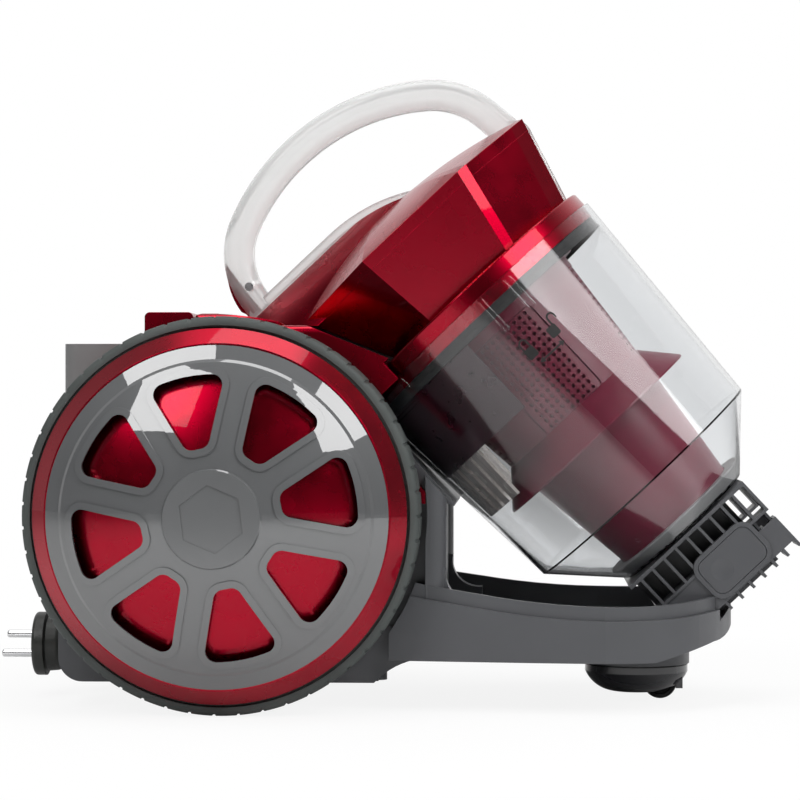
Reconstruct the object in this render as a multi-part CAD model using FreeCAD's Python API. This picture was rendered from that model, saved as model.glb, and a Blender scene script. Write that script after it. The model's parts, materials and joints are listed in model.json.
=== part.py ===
import FreeCAD, Part
import math
import os

from FreeCAD import Vector

# Canister vacuum cleaner, bagless, in millimetres.
# +X is the nose, +Y the left side, +Z up. The origin is on the floor below the middle of the cleaner.

# ---------------------------------------------------------------- driving sizes
# road wheels
housing_half_width = 66.0
wheel_radius = 112.5
axle_x = -109.5
wheel_inner_y = housing_half_width + 6.0
wheel_well_gap = 3.0
tyre_width = 36.0
tyre_depth = 9.0
tyre_shoulder = 4.0
axle_radius = 6.0
axle_inner_y = housing_half_width - 10.0
axle_boss_radius = 14.0
hub_face_y = wheel_inner_y + 76.0
hub_cap_radius = 27.6
cover_radius = 95.9
cover_edge_y = wheel_inner_y + 50.0
cover_wall = 2.5
cover_step_radius = 86.4
window_count = 8
window_inner_radius = 39.0
window_outer_radius = 79.6
window_phase_deg = 11.5
spoke_width = 18.5
window_corner = 6.0
bead_width = 4.0
bead_height = 1.0
hexagon_radius = 19.0
hexagon_turn_deg = 7.0
hexagon_depth = 0.8
dish_gap = 7.0
dish_wall = 2.5
rim_wall = 2.8

# running gaps
axle_clearance = 0.05
slide_gap = 0.3
seat_gap = 0.2
seam_gap = 0.2
pedal_gap = 0.4
cup_clearance = 0.6
head_clearance = 1.5

# dust container: its axis leans back from the vertical
container_tilt_deg = 43.2
rim_x = 39.4
rim_z = 227.2
cup_top_radius = 90.0
cup_corner_radius = 80.6
cup_bottom_radius = 45.4
cup_top = 8.5
cup_corner_depth = 134.5
cup_depth = 170.7
cup_wall = 2.5
base_ring_height = 7.0
collar_radius = cup_top_radius - 2.0
collar_wall = 3.0
flange_top = 1.2
grille_top_radius = 58.6
grille_bottom_radius = 51.5
grille_depth = 75.0
grille_wall = 3.0
grille_window_height = 63.0
grille_window_width = 44.0
screen_thickness = 1.2
skirt_radius = 68.4
skirt_depth = 95.6
skirt_wall = 2.2
inlet_tube_top_radius = 49.0
inlet_tube_bottom_radius = 41.0
inlet_tube_wall = 2.2
inlet_hole_radius = 20.0
guide_radius = 84.0
guide_depth = 54.0
guide_reach = 20.0
guide_wall = 2.2
deflector_depth = 34.0

# faceted head of the container: half outlines, along the machine and across it
head_bottom = 18.0
head_top = 70.0
head_wall = 2.5
lid_band = 7.0
dome_height = 17.0
dome_rings = 5
head_low_half = [(-56, 36), (-26, 70), (33, 70), (39, 67.5), (70, 40), (79, 31)]
head_high_half = [(-80, 38), (-31, 76), (43.5, 76), (50, 73), (85, 42), (94, 33)]
filter_hole_radius = 44.0
filter_radius = 40.0
filter_height = 34.0
pleat_count = 30
pleat_depth = 9.0
port_radius = 16.0
port_drop = 2.0
port_seal_width = 4.0
port_seal_end = 5.5
port_length = 12.0

# hood behind the lid, with the clear handle standing on it
head_clear_x = -58.0
hood_ridge = 96.0
hood_ridge_half = 7.0
handle_front = (59.0, 0.0, 331.2)
handle_heading = 140.0
handle_legs = [(27.2,), (50.0, 44.3), (128.9, 62.0), (45.0, 60.0), (8.0,)]
handle_screw_x = -103.0
handle_screw_z = 245.5
handle_screw_radius = 2.5
tang_half_width = 6.5
handle_thickness = 18.0
handle_width = 22.0
handle_corner = 7.5
handle_strap_low = 3.0
handle_strap_high = 2.6
handle_strap_round = 2.0
handle_strip_height = 12.0
handle_strip_width = 20.0

# housing between the wheels
housing_wall = 3.0
housing_rear_x = -208.0
housing_front_x = 14.0
housing_bottom_z = 15.0
housing_corner = 14.0
seam_z = 118.0
upper_rear_x = -194.0
deck_z = 221.0
deck_corner = 60.0
nose_bottom_z = 29.0
nose_tip_x = 184.0
nose_half_width = 92.0
nose_widest_x = 107.0
nose_back_x = -16.0
nose_rear_x = 5.0
nose_rear_half_width = housing_half_width + 11.0
rim_height_z = 62.0
tray_floor_z = 48.0
ledge_drop = 8.0
ledge_width = 2.5
column_front_x = 17.0
column_half_width = nose_rear_half_width + 1.0
column_inner_y = housing_half_width - 8.0
column_corner = 9.0
shoulder_round = 5.0
cradle_top = 4.0
cradle_back = cup_top_radius + 5.0
cradle_face = cup_top_radius - 2.5
cradle_length = 68.0
cradle_half_width = housing_half_width - 4.0
rim_room_behind = 4.0
rim_room_above = 0.8

# swivel caster under the nose
caster_x = 128.0
caster_ring_radius = 31.5
caster_ring_bottom_z = 21.5
caster_bowl_radius = 30.5
caster_plate_z = 23.5
caster_bowl_bottom_z = 4.0
roller_radius = 10.0
roller_width = 14.0
roller_trail = 14.0
roller_axle_radius = 2.0
caster_pin_radius = 5.0

# hose inlet below the cup
inlet_gap = 1.2
inlet_half_width = 43.0
inlet_back = 48.0
inlet_front = 42.0
inlet_stage = 21.5
inlet_neck = 28.0
inlet_length = 50.0
inlet_rib_pitch = 9.0
inlet_rib = 1.8
hose_radius = 17.5
hose_socket_wall = 2.5
hose_mouth = 27.0
hose_centre = 29.5
hose_stop = 20.0
button_across = 6.5
button_down = 29.5
button_length = 38.3
button_height = 23.4
button_corner = 6.0
button_travel = 3.0
button_bezel = 3.0
bezel_rise = 0.8
dimple_radius = 22.0
dimple_depth = 0.4

# rear bracket, plug and cord
bracket_front_x = -184.0
bracket_rear_x = -211.0
bracket_top_z = 211.0
bracket_half_width = 32.0
bracket_slot_half_width = 11.0
bracket_slot_depth = 12.0
bracket_slot_height = 60.0
bracket_corner = 8.0
plug_z = 31.0
plug_radius = 19.0
plug_front_x = -214.0
plug_rear_x = -233.0
plug_face_recess = 0.8
plug_pin_radius = 2.4
plug_pin_round = 1.4
plug_pin_length = 19.0
plug_root_radius = 3.4
plug_root_length = 7.0
plug_pin_pitch = 19.0
plug_roll_deg = 58.0
boot_radius = 7.5

# working parts inside
reel_x = -146.0
reel_z = 24.0
reel_height = 42.0
reel_radius = 55.0
reel_hub_radius = 24.0
reel_flange = 2.0
reel_axle_radius = 5.0
reel_spring_radius = 30.0
cord_coil_radius = 52.0
motor_x = -98.0
motor_z = 128.0
motor_radius = 40.0
motor_length = 60.0
motor_wall = 1.6
fan_radius = 52.0
fan_length = 34.0
mount_thickness = 4.5
mount_length = 12.0
shaft_radius = 4.0
armature_radius = 19.0
armature_length = 34.0
impeller_radius = 47.0
impeller_height = 14.0
impeller_blades = 8
bulkhead_x = -74.0
screw_radius = 2.0
screw_head_radius = 4.0
screw_head_height = 3.0
screw_below_seam = 20.0
screw_above_seam = 14.0
screw_boss_radius = 6.0
boss_rib = 3.0
screw_spots = [(-174.0, housing_half_width - 9.5), (-24.0, housing_half_width - 12.0)]
vent_count = 5
vent_low = 8.0
vent_height = 4.0
vent_pitch = 8.0
filter_pad_thickness = 10.0
pedal_rear_x = -129.0
pedal_front_x = -78.0
pedal_outer_y = housing_half_width - 2.0
pedal_inner_y = pedal_outer_y - 27.0
pedal_rise = 7.0
pedal_round = 6.0
pedal_travel = 4.0
pedal_stem_length = 22.0
hump_rear_x = -158.0
hump_front_x = -129.8
hump_rise = 7.6
hump_round = 3.0

# ---------------------------------------------------------------- helpers
os.makedirs("parts", exist_ok=True)
tilt = FreeCAD.Placement(
    Vector(rim_x, 0, rim_z),
    FreeCAD.Rotation(Vector(0, 1, 0), -container_tilt_deg),
)


def save(name, shape):
    """Writes one node."""
    shape.exportStep("parts/" + name + ".step")


def wire_of(points, lift):
    """Closed wire through points. A point of four numbers is the middle and the end of an arc."""
    edges = []
    here = lift(*points[0][-2:])
    for point in points[1:] + points[:1]:
        there = lift(*point[-2:])
        if len(point) == 4:
            edges.append(Part.Arc(here, lift(*point[:2]), there).toShape())
        elif (there - here).Length > 1e-6:
            edges.append(Part.LineSegment(here, there).toShape())
        here = there
    return Part.Wire(edges)


def side_slab(points, half_width, middle=0.0):
    """Slab with a side outline in X and Z, centred on y = middle."""
    wire = wire_of(points, lambda x, z: Vector(x, middle - half_width, z))
    return Part.Face(wire).extrude(Vector(0, 2 * half_width, 0))


def plan_slab(points, low, high):
    """Slab with a plan outline in X and Y, from z = low to z = high."""
    wire = wire_of(points, lambda x, y: Vector(x, y, low))
    return Part.Face(wire).extrude(Vector(0, 0, high - low))


def turned(points):
    """Solid turned about the Z axis from an outline in radius and height."""
    wire = wire_of(points, lambda r, z: Vector(r, 0, z))
    return Part.Face(wire).revolve(Vector(0, 0, 0), Vector(0, 0, 1), 360)


def cylinder(radius, low, high, x=0.0, y=0.0):
    """Upright cylinder."""
    return Part.makeCylinder(radius, high - low, Vector(x, y, low))


def tube(outer, inner, low, high):
    """Upright tube on the Z axis."""
    return cylinder(outer, low, high).cut(cylinder(inner, low - 1, high + 1))


def box(low, high):
    """Box between two corners."""
    size = Vector(*high) - Vector(*low)
    return Part.makeBox(size.x, size.y, size.z, Vector(*low))


def turn_x(shape, x, y, z):
    """Stands a shape made about the Z axis along +X, with its foot at a point."""
    placed = shape.copy()
    placed.Placement = FreeCAD.Placement(
        Vector(x, y, z), FreeCAD.Rotation(Vector(0, 1, 0), 90)
    )
    return placed


def wheel_place(shape, side):
    """Puts a shape made about +Z, with z as distance from the middle, on a road wheel's axis."""
    placed = shape.copy()
    placed.Placement = FreeCAD.Placement(
        Vector(axle_x, 0, wheel_radius), FreeCAD.Rotation(Vector(1, 0, 0), 90)
    )
    if side > 0:
        placed = placed.mirror(Vector(0, 0, 0), Vector(0, 1, 0))
    return placed


def lean(shape):
    """Puts a shape made about the container's axis, z up from its rim, in its place."""
    placed = shape.copy()
    placed.Placement = tilt.multiply(placed.Placement)
    return placed


def upright_edges(shape):
    """Edges of a shape that run straight along Z."""
    found = []
    for edge in shape.Edges:
        run = edge.Vertexes[-1].Point - edge.Vertexes[0].Point
        if run.Length > 1e-6 and abs(run.z) > 0.999 * run.Length:
            found.append(edge)
    return found


def mirrored_y(shape):
    """The same shape on the other side of the machine."""
    return shape.mirror(Vector(0, 0, 0), Vector(0, 1, 0))


def both_sides(shape):
    """The shape and its mirror image."""
    return [shape, mirrored_y(shape)]


def group(shapes):
    """Separate solids in one node."""
    return Part.makeCompound(shapes)


# ---------------------------------------------------------------- road wheels
tyre_outer_y = wheel_inner_y + tyre_width
rim_radius = wheel_radius - tyre_depth
dome_mid_radius = (hub_cap_radius + cover_step_radius) / 2
dome_step_y = cover_edge_y + 5.8
dome_rise = hub_face_y - 1.0 - dome_step_y
dome_mid_y = dome_step_y + dome_rise * 0.66
dish_top_y = hub_face_y - dish_gap - cover_wall


def tyre():
    """Rubber tyre with rounded shoulders."""
    inner = rim_radius
    outer = wheel_radius
    low = wheel_inner_y
    high = tyre_outer_y
    soft = tyre_shoulder
    bevel = soft * 0.29
    return turned([
        (inner, low),
        (outer - soft, low),
        (outer - bevel, low + bevel, outer, low + soft),
        (outer, high - soft),
        (outer - bevel, high - bevel, outer - soft, high),
        (inner + 2.1, high),
        (inner, high - 2.0),
    ])


def wheel_disc():
    """Glossy disc: rim under the tyre, bevelled ring, dished face behind the windows, hub tube and ribs."""
    rim = rim_radius
    edge = cover_radius - 1.1
    bore = axle_radius + axle_clearance
    hub = axle_radius + 6.0
    hub_flat = hub + 8.0
    ring_top = cover_edge_y - 1.5
    top = dish_top_y
    under = top - dish_wall
    mid = (hub_flat + edge) / 2
    mid_y = ring_top - 3.5 + (top - ring_top + 3.5) * 0.68
    low = wheel_inner_y
    disc = turned([
        (rim - rim_wall, low),
        (rim, low),
        (rim, tyre_outer_y - 1.6),
        (rim + 2.1, tyre_outer_y + 0.4),
        (rim + 2.1, tyre_outer_y + 2.0),
        (cover_radius + 1.1, ring_top),
        (edge, ring_top),
        (edge - 0.8, ring_top - 3.5),
        (mid, mid_y, hub_flat, top),
        (bore, top),
        (bore, low),
        (hub, low),
        (hub, under),
        (hub_flat, under),
        (mid, mid_y - dish_wall),
        (edge - 1.2, ring_top - 3.5 - dish_wall),
        (rim - rim_wall, tyre_outer_y - 4.0),
    ])
    bite = dish_wall / 2
    rib_profile = [
        (hub - 1, low + 4),
        (rim - 1, low + 4),
        (rim - 1, tyre_outer_y - 2.5),
        (edge - 2, ring_top - 3.5 - dish_wall + bite),
        (mid, mid_y - dish_wall + bite),
        (hub_flat, under + bite),
        (hub - 1, under + bite),
    ]
    rib = side_slab(rib_profile, dish_wall / 2)
    ribs = []
    for index in range(window_count):
        turned_rib = rib.copy()
        turned_rib.rotate(Vector(0, 0, 0), Vector(0, 0, 1), 360 / window_count * index)
        ribs.append(turned_rib)
    return disc.multiFuse(ribs)


def window_prism(grow):
    """One window of the cover, centred on +X, grown by an amount on every side."""
    inner = window_inner_radius - grow
    outer = window_outer_radius + grow
    half_spoke = spoke_width / 2 - grow
    half_angle = math.pi / window_count
    corners = []
    for radius in (inner, outer):
        angle = half_angle - math.asin(half_spoke / radius)
        corners.append((radius, angle))
    (r0, a0), (r1, a1) = corners
    points = [
        (r0 * math.cos(a0), -r0 * math.sin(a0)),
        (r1 * math.cos(a1), -r1 * math.sin(a1)),
        (r1, 0, r1 * math.cos(a1), r1 * math.sin(a1)),
        (r0 * math.cos(a0), r0 * math.sin(a0)),
        (r0, 0, r0 * math.cos(a0), -r0 * math.sin(a0)),
    ]
    prism = plan_slab(points, cover_edge_y - 20, hub_face_y + 20)
    return prism.makeFillet(window_corner + grow, upright_edges(prism))


def cover_outline(raise_by, low):
    """Outline of the domed cover above a level, raised along the axle."""
    return [
        (0, low),
        (cover_radius, low),
        (cover_radius, cover_edge_y + raise_by),
        (cover_step_radius + 1.6, dome_step_y - 2.0 + raise_by),
        (cover_step_radius, dome_step_y + raise_by),
        (dome_mid_radius, dome_mid_y + raise_by, hub_cap_radius, hub_face_y - 1 + raise_by),
        (hub_cap_radius - 0.8, hub_face_y + raise_by),
        (0, hub_face_y + raise_by),
    ]


def wheel_cover():
    """Domed cover with windows between its spokes, a raised bead round each and a sunk hexagon on the hub."""
    low = cover_edge_y - 1.5
    outer = turned(cover_outline(0, low))
    hollow = turned([
        (0, low - 1),
        (cover_radius - cover_wall, low - 1),
        (cover_radius - cover_wall, cover_edge_y - cover_wall),
        (cover_step_radius, dome_step_y - cover_wall),
        (dome_mid_radius, dome_mid_y - cover_wall, hub_cap_radius, hub_face_y - 1 - cover_wall),
        (0, hub_face_y - 1 - cover_wall),
    ])
    shell = outer.cut(hollow)
    hub_tube = tube(axle_radius + 11.5, axle_radius + 9.0, dish_top_y, hub_face_y - 2)
    shell = shell.fuse(hub_tube)
    bead = window_prism(bead_width).cut(window_prism(0))
    bead = bead.common(turned(cover_outline(bead_height, cover_edge_y)))
    bead = bead.cut(turned(cover_outline(-0.5, cover_edge_y - 30)))
    beads = []
    windows = []
    hole = window_prism(0)
    for index in range(window_count):
        angle = window_phase_deg + 360 / window_count * index
        for source, pile in ((bead, beads), (hole, windows)):
            item = source.copy()
            item.rotate(Vector(0, 0, 0), Vector(0, 0, 1), angle)
            pile.append(item)
    shell = shell.multiFuse(beads).cut(group(windows))
    corners = []
    for index in range(6):
        angle = math.radians(90 + hexagon_turn_deg + 60 * index)
        corners.append((hexagon_radius * math.cos(angle), hexagon_radius * math.sin(angle)))
    hexagon = plan_slab(corners, hub_face_y - hexagon_depth, hub_face_y + 1)
    return shell.cut(hexagon)


def axle():
    """Steel stub axle with a groove for its clip."""
    end = dish_top_y + 4.0
    pin = cylinder(axle_radius, axle_inner_y, end)
    groove = tube(axle_radius + 1, axle_radius - 1, dish_top_y + seat_gap, dish_top_y + 1.7)
    return pin.cut(groove)


def axle_clip():
    """Retaining ring in the axle's groove."""
    low = dish_top_y + slide_gap
    ring = tube(axle_radius + 2.5, axle_radius - 1, low, low + 1.2)
    mouth = box((0, -2.5, low - 1), (axle_radius + 4, 2.5, low + 3))
    return ring.cut(mouth)


# ---------------------------------------------------------------- dust cup and what is in it
cup_slope = (cup_top_radius - cup_corner_radius) / (cup_top + cup_corner_depth)
collar_low = cup_top + slide_gap


def cup_inner_radius(z):
    """Inside radius of the cup's long wall at a height."""
    return cup_top_radius - cup_slope * (cup_top - z) - cup_wall


def cup_inner_bevel():
    """Lower and upper edge of the bevel inside the cup, each as radius and height."""
    bevel_in = cup_wall * 0.41
    lower = (cup_bottom_radius - bevel_in, -cup_depth + cup_wall)
    return lower, (cup_inner_radius(-cup_corner_depth), -cup_corner_depth + bevel_in)


def dust_cup():
    """Clear cup: tapered wall, bevelled foot, open inlet in its floor."""
    lower, upper = cup_inner_bevel()
    return turned([
        (cup_top_radius, cup_top),
        (cup_corner_radius, -cup_corner_depth),
        (cup_bottom_radius, -cup_depth),
        (inlet_hole_radius, -cup_depth),
        (inlet_hole_radius, -cup_depth + cup_wall),
        lower,
        upper,
        (cup_inner_radius(cup_top), cup_top),
    ])


def cup_base_ring():
    """Grey ring on the cup's floor that takes the foot of the inlet tube."""
    lower, upper = cup_inner_bevel()
    spread = (upper[0] - lower[0]) / (upper[1] - lower[1])
    low = lower[1]
    inner = inlet_tube_bottom_radius + slide_gap
    outer = lower[0] - slide_gap
    rim = outer + spread * (base_ring_height - 1)
    return turned([
        (inner, low),
        (outer, low),
        (rim, low + base_ring_height - 1),
        (rim, low + base_ring_height),
        (inner, low + base_ring_height),
    ])


def cup_collar():
    """Red collar on the cup's mouth, with a neck inside the cup."""
    neck = cup_inner_radius(cup_top) - 0.6
    return turned([
        (filter_hole_radius, head_bottom),
        (collar_radius - 1.5, head_bottom),
        (collar_radius - 0.4, head_bottom - 0.4, collar_radius, head_bottom - 1.5),
        (collar_radius, collar_low),
        (neck, collar_low),
        (neck - 0.6, flange_top),
        (neck - 3, flange_top),
        (neck - 3, head_bottom - collar_wall),
        (filter_hole_radius, head_bottom - collar_wall),
    ])


def insert_flange():
    """Plate that carries the insert under the collar."""
    neck = cup_inner_radius(cup_top) - 0.6
    plate = tube(neck - 3, grille_top_radius - grille_wall, -2, flange_top)
    return plate.fuse(tube(neck - 3.2, neck - 5.2, flange_top, head_bottom - collar_wall))


def cup_seal():
    """Rubber ring round the flange, inside the cup's mouth."""
    outer = cup_inner_radius(-6) - slide_gap
    inner = cup_inner_radius(cup_top) - 3.6
    return turned([
        (inner - 2, -6),
        (outer, -6),
        (outer - 0.6, -3),
        (outer - 0.6, 1.0),
        (inner, 1.0),
        (inner, -2),
        (inner - 2, -2),
    ])


def grille_frame():
    """Tapered frame of the cyclone insert with four windows."""
    low = -grille_depth
    frame = turned([
        (grille_top_radius - grille_wall, -2),
        (grille_top_radius + 5, -2),
        (grille_top_radius + 5, -5),
        (grille_top_radius, -5),
        (grille_bottom_radius, low),
        (grille_bottom_radius - grille_wall, low),
        (grille_top_radius - grille_wall, -8),
    ])
    half = grille_window_width / 2
    top = -12.0
    window = box((0, -half, top - grille_window_height), (grille_top_radius + 10, half, top))
    edges = [e for e in window.Edges if e.BoundBox.XLength > 2 * half]
    window = window.makeFillet(3, edges)
    for index in range(4):
        hole = window.copy()
        hole.rotate(Vector(0, 0, 0), Vector(0, 0, 1), 90 * index)
        frame = frame.cut(hole)
    return frame


def grille_screens():
    """Four perforated screens, one behind each window."""
    low = -grille_depth
    sleeve = turned([
        (grille_top_radius - grille_wall - 0.2, -8),
        (grille_bottom_radius - grille_wall - 0.2, low),
        (grille_bottom_radius - grille_wall - 0.2 - screen_thickness, low),
        (grille_top_radius - grille_wall - 0.2 - screen_thickness, -8),
    ])
    half = grille_window_width / 2 + 3
    screens = []
    for index in range(4):
        slab = box((0, -half, low), (grille_top_radius, half, -8))
        slab.rotate(Vector(0, 0, 0), Vector(0, 0, 1), 90 * index)
        screens.append(sleeve.common(slab))
    return group(screens)


def separator_skirt():
    """Cone that keeps the dust down, below the grille."""
    low = -skirt_depth
    return turned([
        (grille_bottom_radius - grille_wall, -grille_depth),
        (grille_bottom_radius, -grille_depth),
        (skirt_radius, low + 1.2),
        (skirt_radius, low),
        (inlet_tube_top_radius - inlet_tube_wall, low),
        (inlet_tube_top_radius - inlet_tube_wall, low + skirt_wall),
        (skirt_radius - skirt_wall * 2.4, low + skirt_wall),
        (grille_bottom_radius - grille_wall, -grille_depth - 4),
    ])


def inlet_tube():
    """Tapered tube from the cup's floor up to the insert."""
    foot = -cup_depth + cup_wall + slide_gap
    top = inlet_tube_top_radius
    low = inlet_tube_bottom_radius
    return turned([
        (top, -skirt_depth),
        (low, foot + base_ring_height + 2),
        (low, foot),
        (low - inlet_tube_wall, foot),
        (low - inlet_tube_wall, foot + base_ring_height + 2),
        (top - inlet_tube_wall, -skirt_depth),
    ])


def inlet_guide():
    """Duct box on the rear side that turns the air round the cup."""
    top = -6.0 - slide_gap
    low = -guide_depth
    outer = cup_inner_radius(low) - 0.5
    ring = turned([
        (grille_top_radius + slide_gap, top),
        (cup_inner_radius(top) - 0.9, top),
        (outer, low),
        (grille_top_radius + slide_gap, low),
    ])
    hollow = turned([
        (grille_top_radius + 1 + guide_wall, top + 1),
        (cup_inner_radius(top) - 0.9 - guide_wall, top + 1),
        (outer - guide_wall, low + guide_wall),
        (grille_top_radius + 1 + guide_wall, low + guide_wall),
    ])
    shell = ring.cut(hollow)
    wedge = box((-cup_top_radius, -cup_top_radius, low - 1), (-guide_reach, cup_top_radius, 0))
    end_walls = box((-guide_reach - guide_wall, -cup_top_radius, low), (-guide_reach, cup_top_radius, top))
    return shell.common(wedge).fuse(ring.common(end_walls))


def deflector():
    """Smoky ribbed skirt below the duct box."""
    top = -guide_depth
    low = top - deflector_depth
    outer_top = cup_inner_radius(top) - 0.9
    outer_low = cup_inner_radius(low) - 0.9
    ring = turned([
        (outer_top - 2, top),
        (outer_top, top),
        (outer_low, low),
        (outer_low - 2, low),
    ])
    reach = box((-cup_top_radius, -cup_top_radius, low - 1), (-guide_reach * 2.8, cup_top_radius, top + 1))
    return ring.common(reach)


# ---------------------------------------------------------------- head, lid, hood, handle
def whole_outline(half):
    """Closed outline from half of it, mirrored across the machine's middle."""
    return list(half) + [(x, -y) for x, y in reversed(half)]


def inset_outline(points, amount):
    """Outline moved inwards by an amount along each side."""
    count = len(points)
    moved = []
    for index in range(count):
        before = Vector(*points[index - 1], 0)
        here = Vector(*points[index], 0)
        after = Vector(*points[(index + 1) % count], 0)
        first = (here - before).normalize()
        second = (after - here).normalize()
        inward = Vector(first.y, -first.x, 0) + Vector(second.y, -second.x, 0)
        inward.normalize()
        stretch = math.cos(first.getAngle(second) / 2)
        spot = here + inward * (amount / stretch)
        moved.append((spot.x, spot.y))
    return moved


def head_level(z, inset=0.0):
    """Outline of the head at a height, with its walls set in by an amount."""
    share = (z - head_bottom) / (head_top - head_bottom)
    low = whole_outline(head_low_half)
    high = whole_outline(head_high_half)
    points = []
    for (x0, y0), (x1, y1) in zip(low, high):
        points.append((x0 + (x1 - x0) * share, y0 + (y1 - y0) * share))
    return inset_outline(points, inset)


def level_wire(points, z):
    """Polygon at a height."""
    return Part.makePolygon([Vector(x, y, z) for x, y in points + points[:1]])


def head_block(low, high, inset=0.0):
    """Faceted block between two heights."""
    wires = [level_wire(head_level(low, inset), low), level_wire(head_level(high, inset), high)]
    return Part.makeLoft(wires, True, True)


def dome(inset):
    """Crowned top of the lid."""
    base = head_level(head_top, inset)
    wires = []
    for step in range(dome_rings):
        share = 1 - step * 0.96 / (dome_rings - 1)
        level = [(x * share, y * share) for x, y in base]
        wires.append(level_wire(level, head_top + (dome_height - inset) * (1 - share * share)))
    return Part.makeLoft(wires, True, False)


def hood(inset):
    """Tent-shaped hood that runs from the tail over the lid."""
    ridge = hood_ridge - inset
    half = hood_ridge_half - inset / 2
    foot_half = 44.0 - inset
    foot = head_top - lid_band - inset
    wire = wire_of([
        (-half, ridge),
        (half, ridge),
        (26.0 - inset, ridge - 12.0, foot_half, foot),
        (-foot_half, foot),
        (-26.0 + inset, ridge - 12.0, -half, ridge),
    ], lambda y, z: Vector(-110, y, z))
    tent = Part.Face(wire).extrude(Vector(160, 0, 0))
    outline = [
        (-104 + inset, foot - 1),
        (-104 + inset, ridge - 5),
        (-101 + inset, ridge - 1.5, -96 + inset, ridge),
        (-35, ridge),
        (-8, ridge - 3.5, 16 - inset, ridge - 13),
        (44 - inset, head_top),
        (44 - inset, foot - 1),
    ]
    return tent.common(side_slab(outline, 60))


lid_low = head_top - lid_band


def lid_outer():
    """Outside of the lid with its dome and hood."""
    return head_block(lid_low, head_top).fuse(dome(0)).fuse(hood(0))


def above_deck(placed):
    """Leaves out what would be below the deck behind the head."""
    return placed.cut(box((-300, -200, 0), (head_clear_x, 200, deck_z + seat_gap)))


def tang():
    """Red tongue of the hood that reaches up inside the handle's rear foot."""
    x = handle_screw_x
    z = handle_screw_z
    return side_slab([
        (x + 5, z - 20),
        (x - 5, z - 15),
        (x - 12, z - 1, x - 13.5, z + 14),
        (x - 2, z - 3),
        (x + 9, z - 16),
    ], tang_half_width)


def lid():
    """Red lid: band, dome, hood and tongue in one hollow moulding."""
    solid = lid_outer()
    hollow = head_block(lid_low - 1, head_top, head_wall).fuse(dome(head_wall)).fuse(hood(head_wall))
    tongue = tang().cut(handle_screw(axle_clearance))
    return above_deck(lean(solid.cut(hollow)).fuse(tongue))


def head_shell():
    """Faceted bucket above the collar, open to the lid, with the air port in its rear face."""
    block = head_block(head_bottom, lid_low)
    hollow = head_block(head_bottom + head_wall, lid_low + 1, head_wall)
    shell = block.cut(hollow)
    shell = shell.cut(cylinder(filter_hole_radius, head_bottom - 1, head_bottom + head_wall + 1))
    return lean(shell.cut(port_cylinder(port_radius, -12, 12)))


def port_cylinder(radius, start, end):
    """Cylinder square to the head's rear face, between two distances behind that face."""
    low_x = head_low_half[0][0]
    high_x = head_high_half[0][0]
    run = Vector(high_x - low_x, 0, head_top - head_bottom)
    out = Vector(-run.z, 0, run.x).normalize()
    centre = Vector((low_x + high_x) / 2, 0, (head_top + head_bottom) / 2) - run.normalize() * port_drop
    return Part.makeCylinder(radius, end - start, centre + out * start, out)


def tangent_bar(start, heading_deg, legs, section):
    """Bar along straight runs and arcs in the X-Z plane. A leg is a length, or a radius and a left turn."""
    solids = []
    here = Vector(*start)
    heading = heading_deg
    for leg in legs:
        angle = math.radians(heading)
        ahead = Vector(math.cos(angle), 0, math.sin(angle))
        left = Vector(-math.sin(angle), 0, math.cos(angle))
        face = section(here, heading)
        if len(leg) == 1:
            solids.append(face.extrude(ahead * leg[0]))
            here = here + ahead * leg[0]
        else:
            radius, turn = leg
            centre = here + left * radius
            solids.append(face.revolve(centre, Vector(0, -1, 0), turn))
            turned_by = FreeCAD.Rotation(Vector(0, -1, 0), turn)
            here = centre + turned_by.multVec(here - centre)
            heading += turn
    return solids[0].multiFuse(solids[1:])


def bar_section(point, heading):
    """Rounded rectangle across the handle's path."""
    half_t = handle_thickness / 2
    half_w = handle_width / 2
    soft = handle_corner
    dent = soft * 0.2929
    wire = wire_of([
        (half_t - soft, -half_w),
        (half_t - dent, -half_w + dent, half_t, -half_w + soft),
        (half_t, half_w - soft),
        (half_t - dent, half_w - dent, half_t - soft, half_w),
        (-half_t + soft, half_w),
        (-half_t + dent, half_w - dent, -half_t, half_w - soft),
        (-half_t, -half_w + soft),
        (-half_t + dent, -half_w + dent, -half_t + soft, -half_w),
    ], lambda across, y: Vector(0, y, across))
    face = Part.Face(wire)
    face.Placement = FreeCAD.Placement(point, FreeCAD.Rotation(Vector(0, -1, 0), heading))
    return face


def handle_strip():
    """Saddle strip of the handle along the hood's ridge."""
    top = hood_ridge + 4.5
    low = top - handle_strip_height
    outline = [
        (-103, low),
        (-103, top - 4),
        (-101.5, top - 1, -98, top),
        (-35, top),
        (-6, top - 4, 17, top - 13.5),
        (36, top - 24.5),
        (17, top - 26),
        (-35, low),
    ]
    return side_slab(outline, handle_strip_width / 2)


def handle_strap():
    """Foot of the handle that runs down the head's front face to the collar."""
    low_x = head_low_half[-1][0]
    high_x = head_high_half[-1][0]
    outline = [
        (low_x - handle_thickness / 2, head_bottom + slide_gap),
        (low_x + handle_strap_low, head_bottom + slide_gap),
        (high_x + handle_strap_high - 2.0, head_top - lid_band),
        (high_x + 1.2, head_top - 2, high_x, head_top + 2.5),
        (high_x - 5, head_top + 6),
        (high_x - handle_thickness, head_top + 6),
    ]
    strap = side_slab(outline, handle_width / 2)
    front = [e for e in strap.Edges if e.BoundBox.XMin > low_x and e.BoundBox.YLength < 0.1
             and e.BoundBox.ZMin < head_top - 1]
    return strap.makeFillet(handle_strap_round, front)


def handle():
    """Clear handle: arched bar, the strip it stands on and its foot in front of the head."""
    bar = tangent_bar(handle_front, handle_heading, handle_legs, bar_section)
    head = head_block(head_bottom, lid_low).fuse(lid_outer())
    whole = bar.multiFuse([lean(handle_strip()), lean(handle_strap())]).cut(lean(head)).cut(tang())
    whole = whole.cut(handle_screw(axle_clearance))
    return above_deck(whole)


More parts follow.
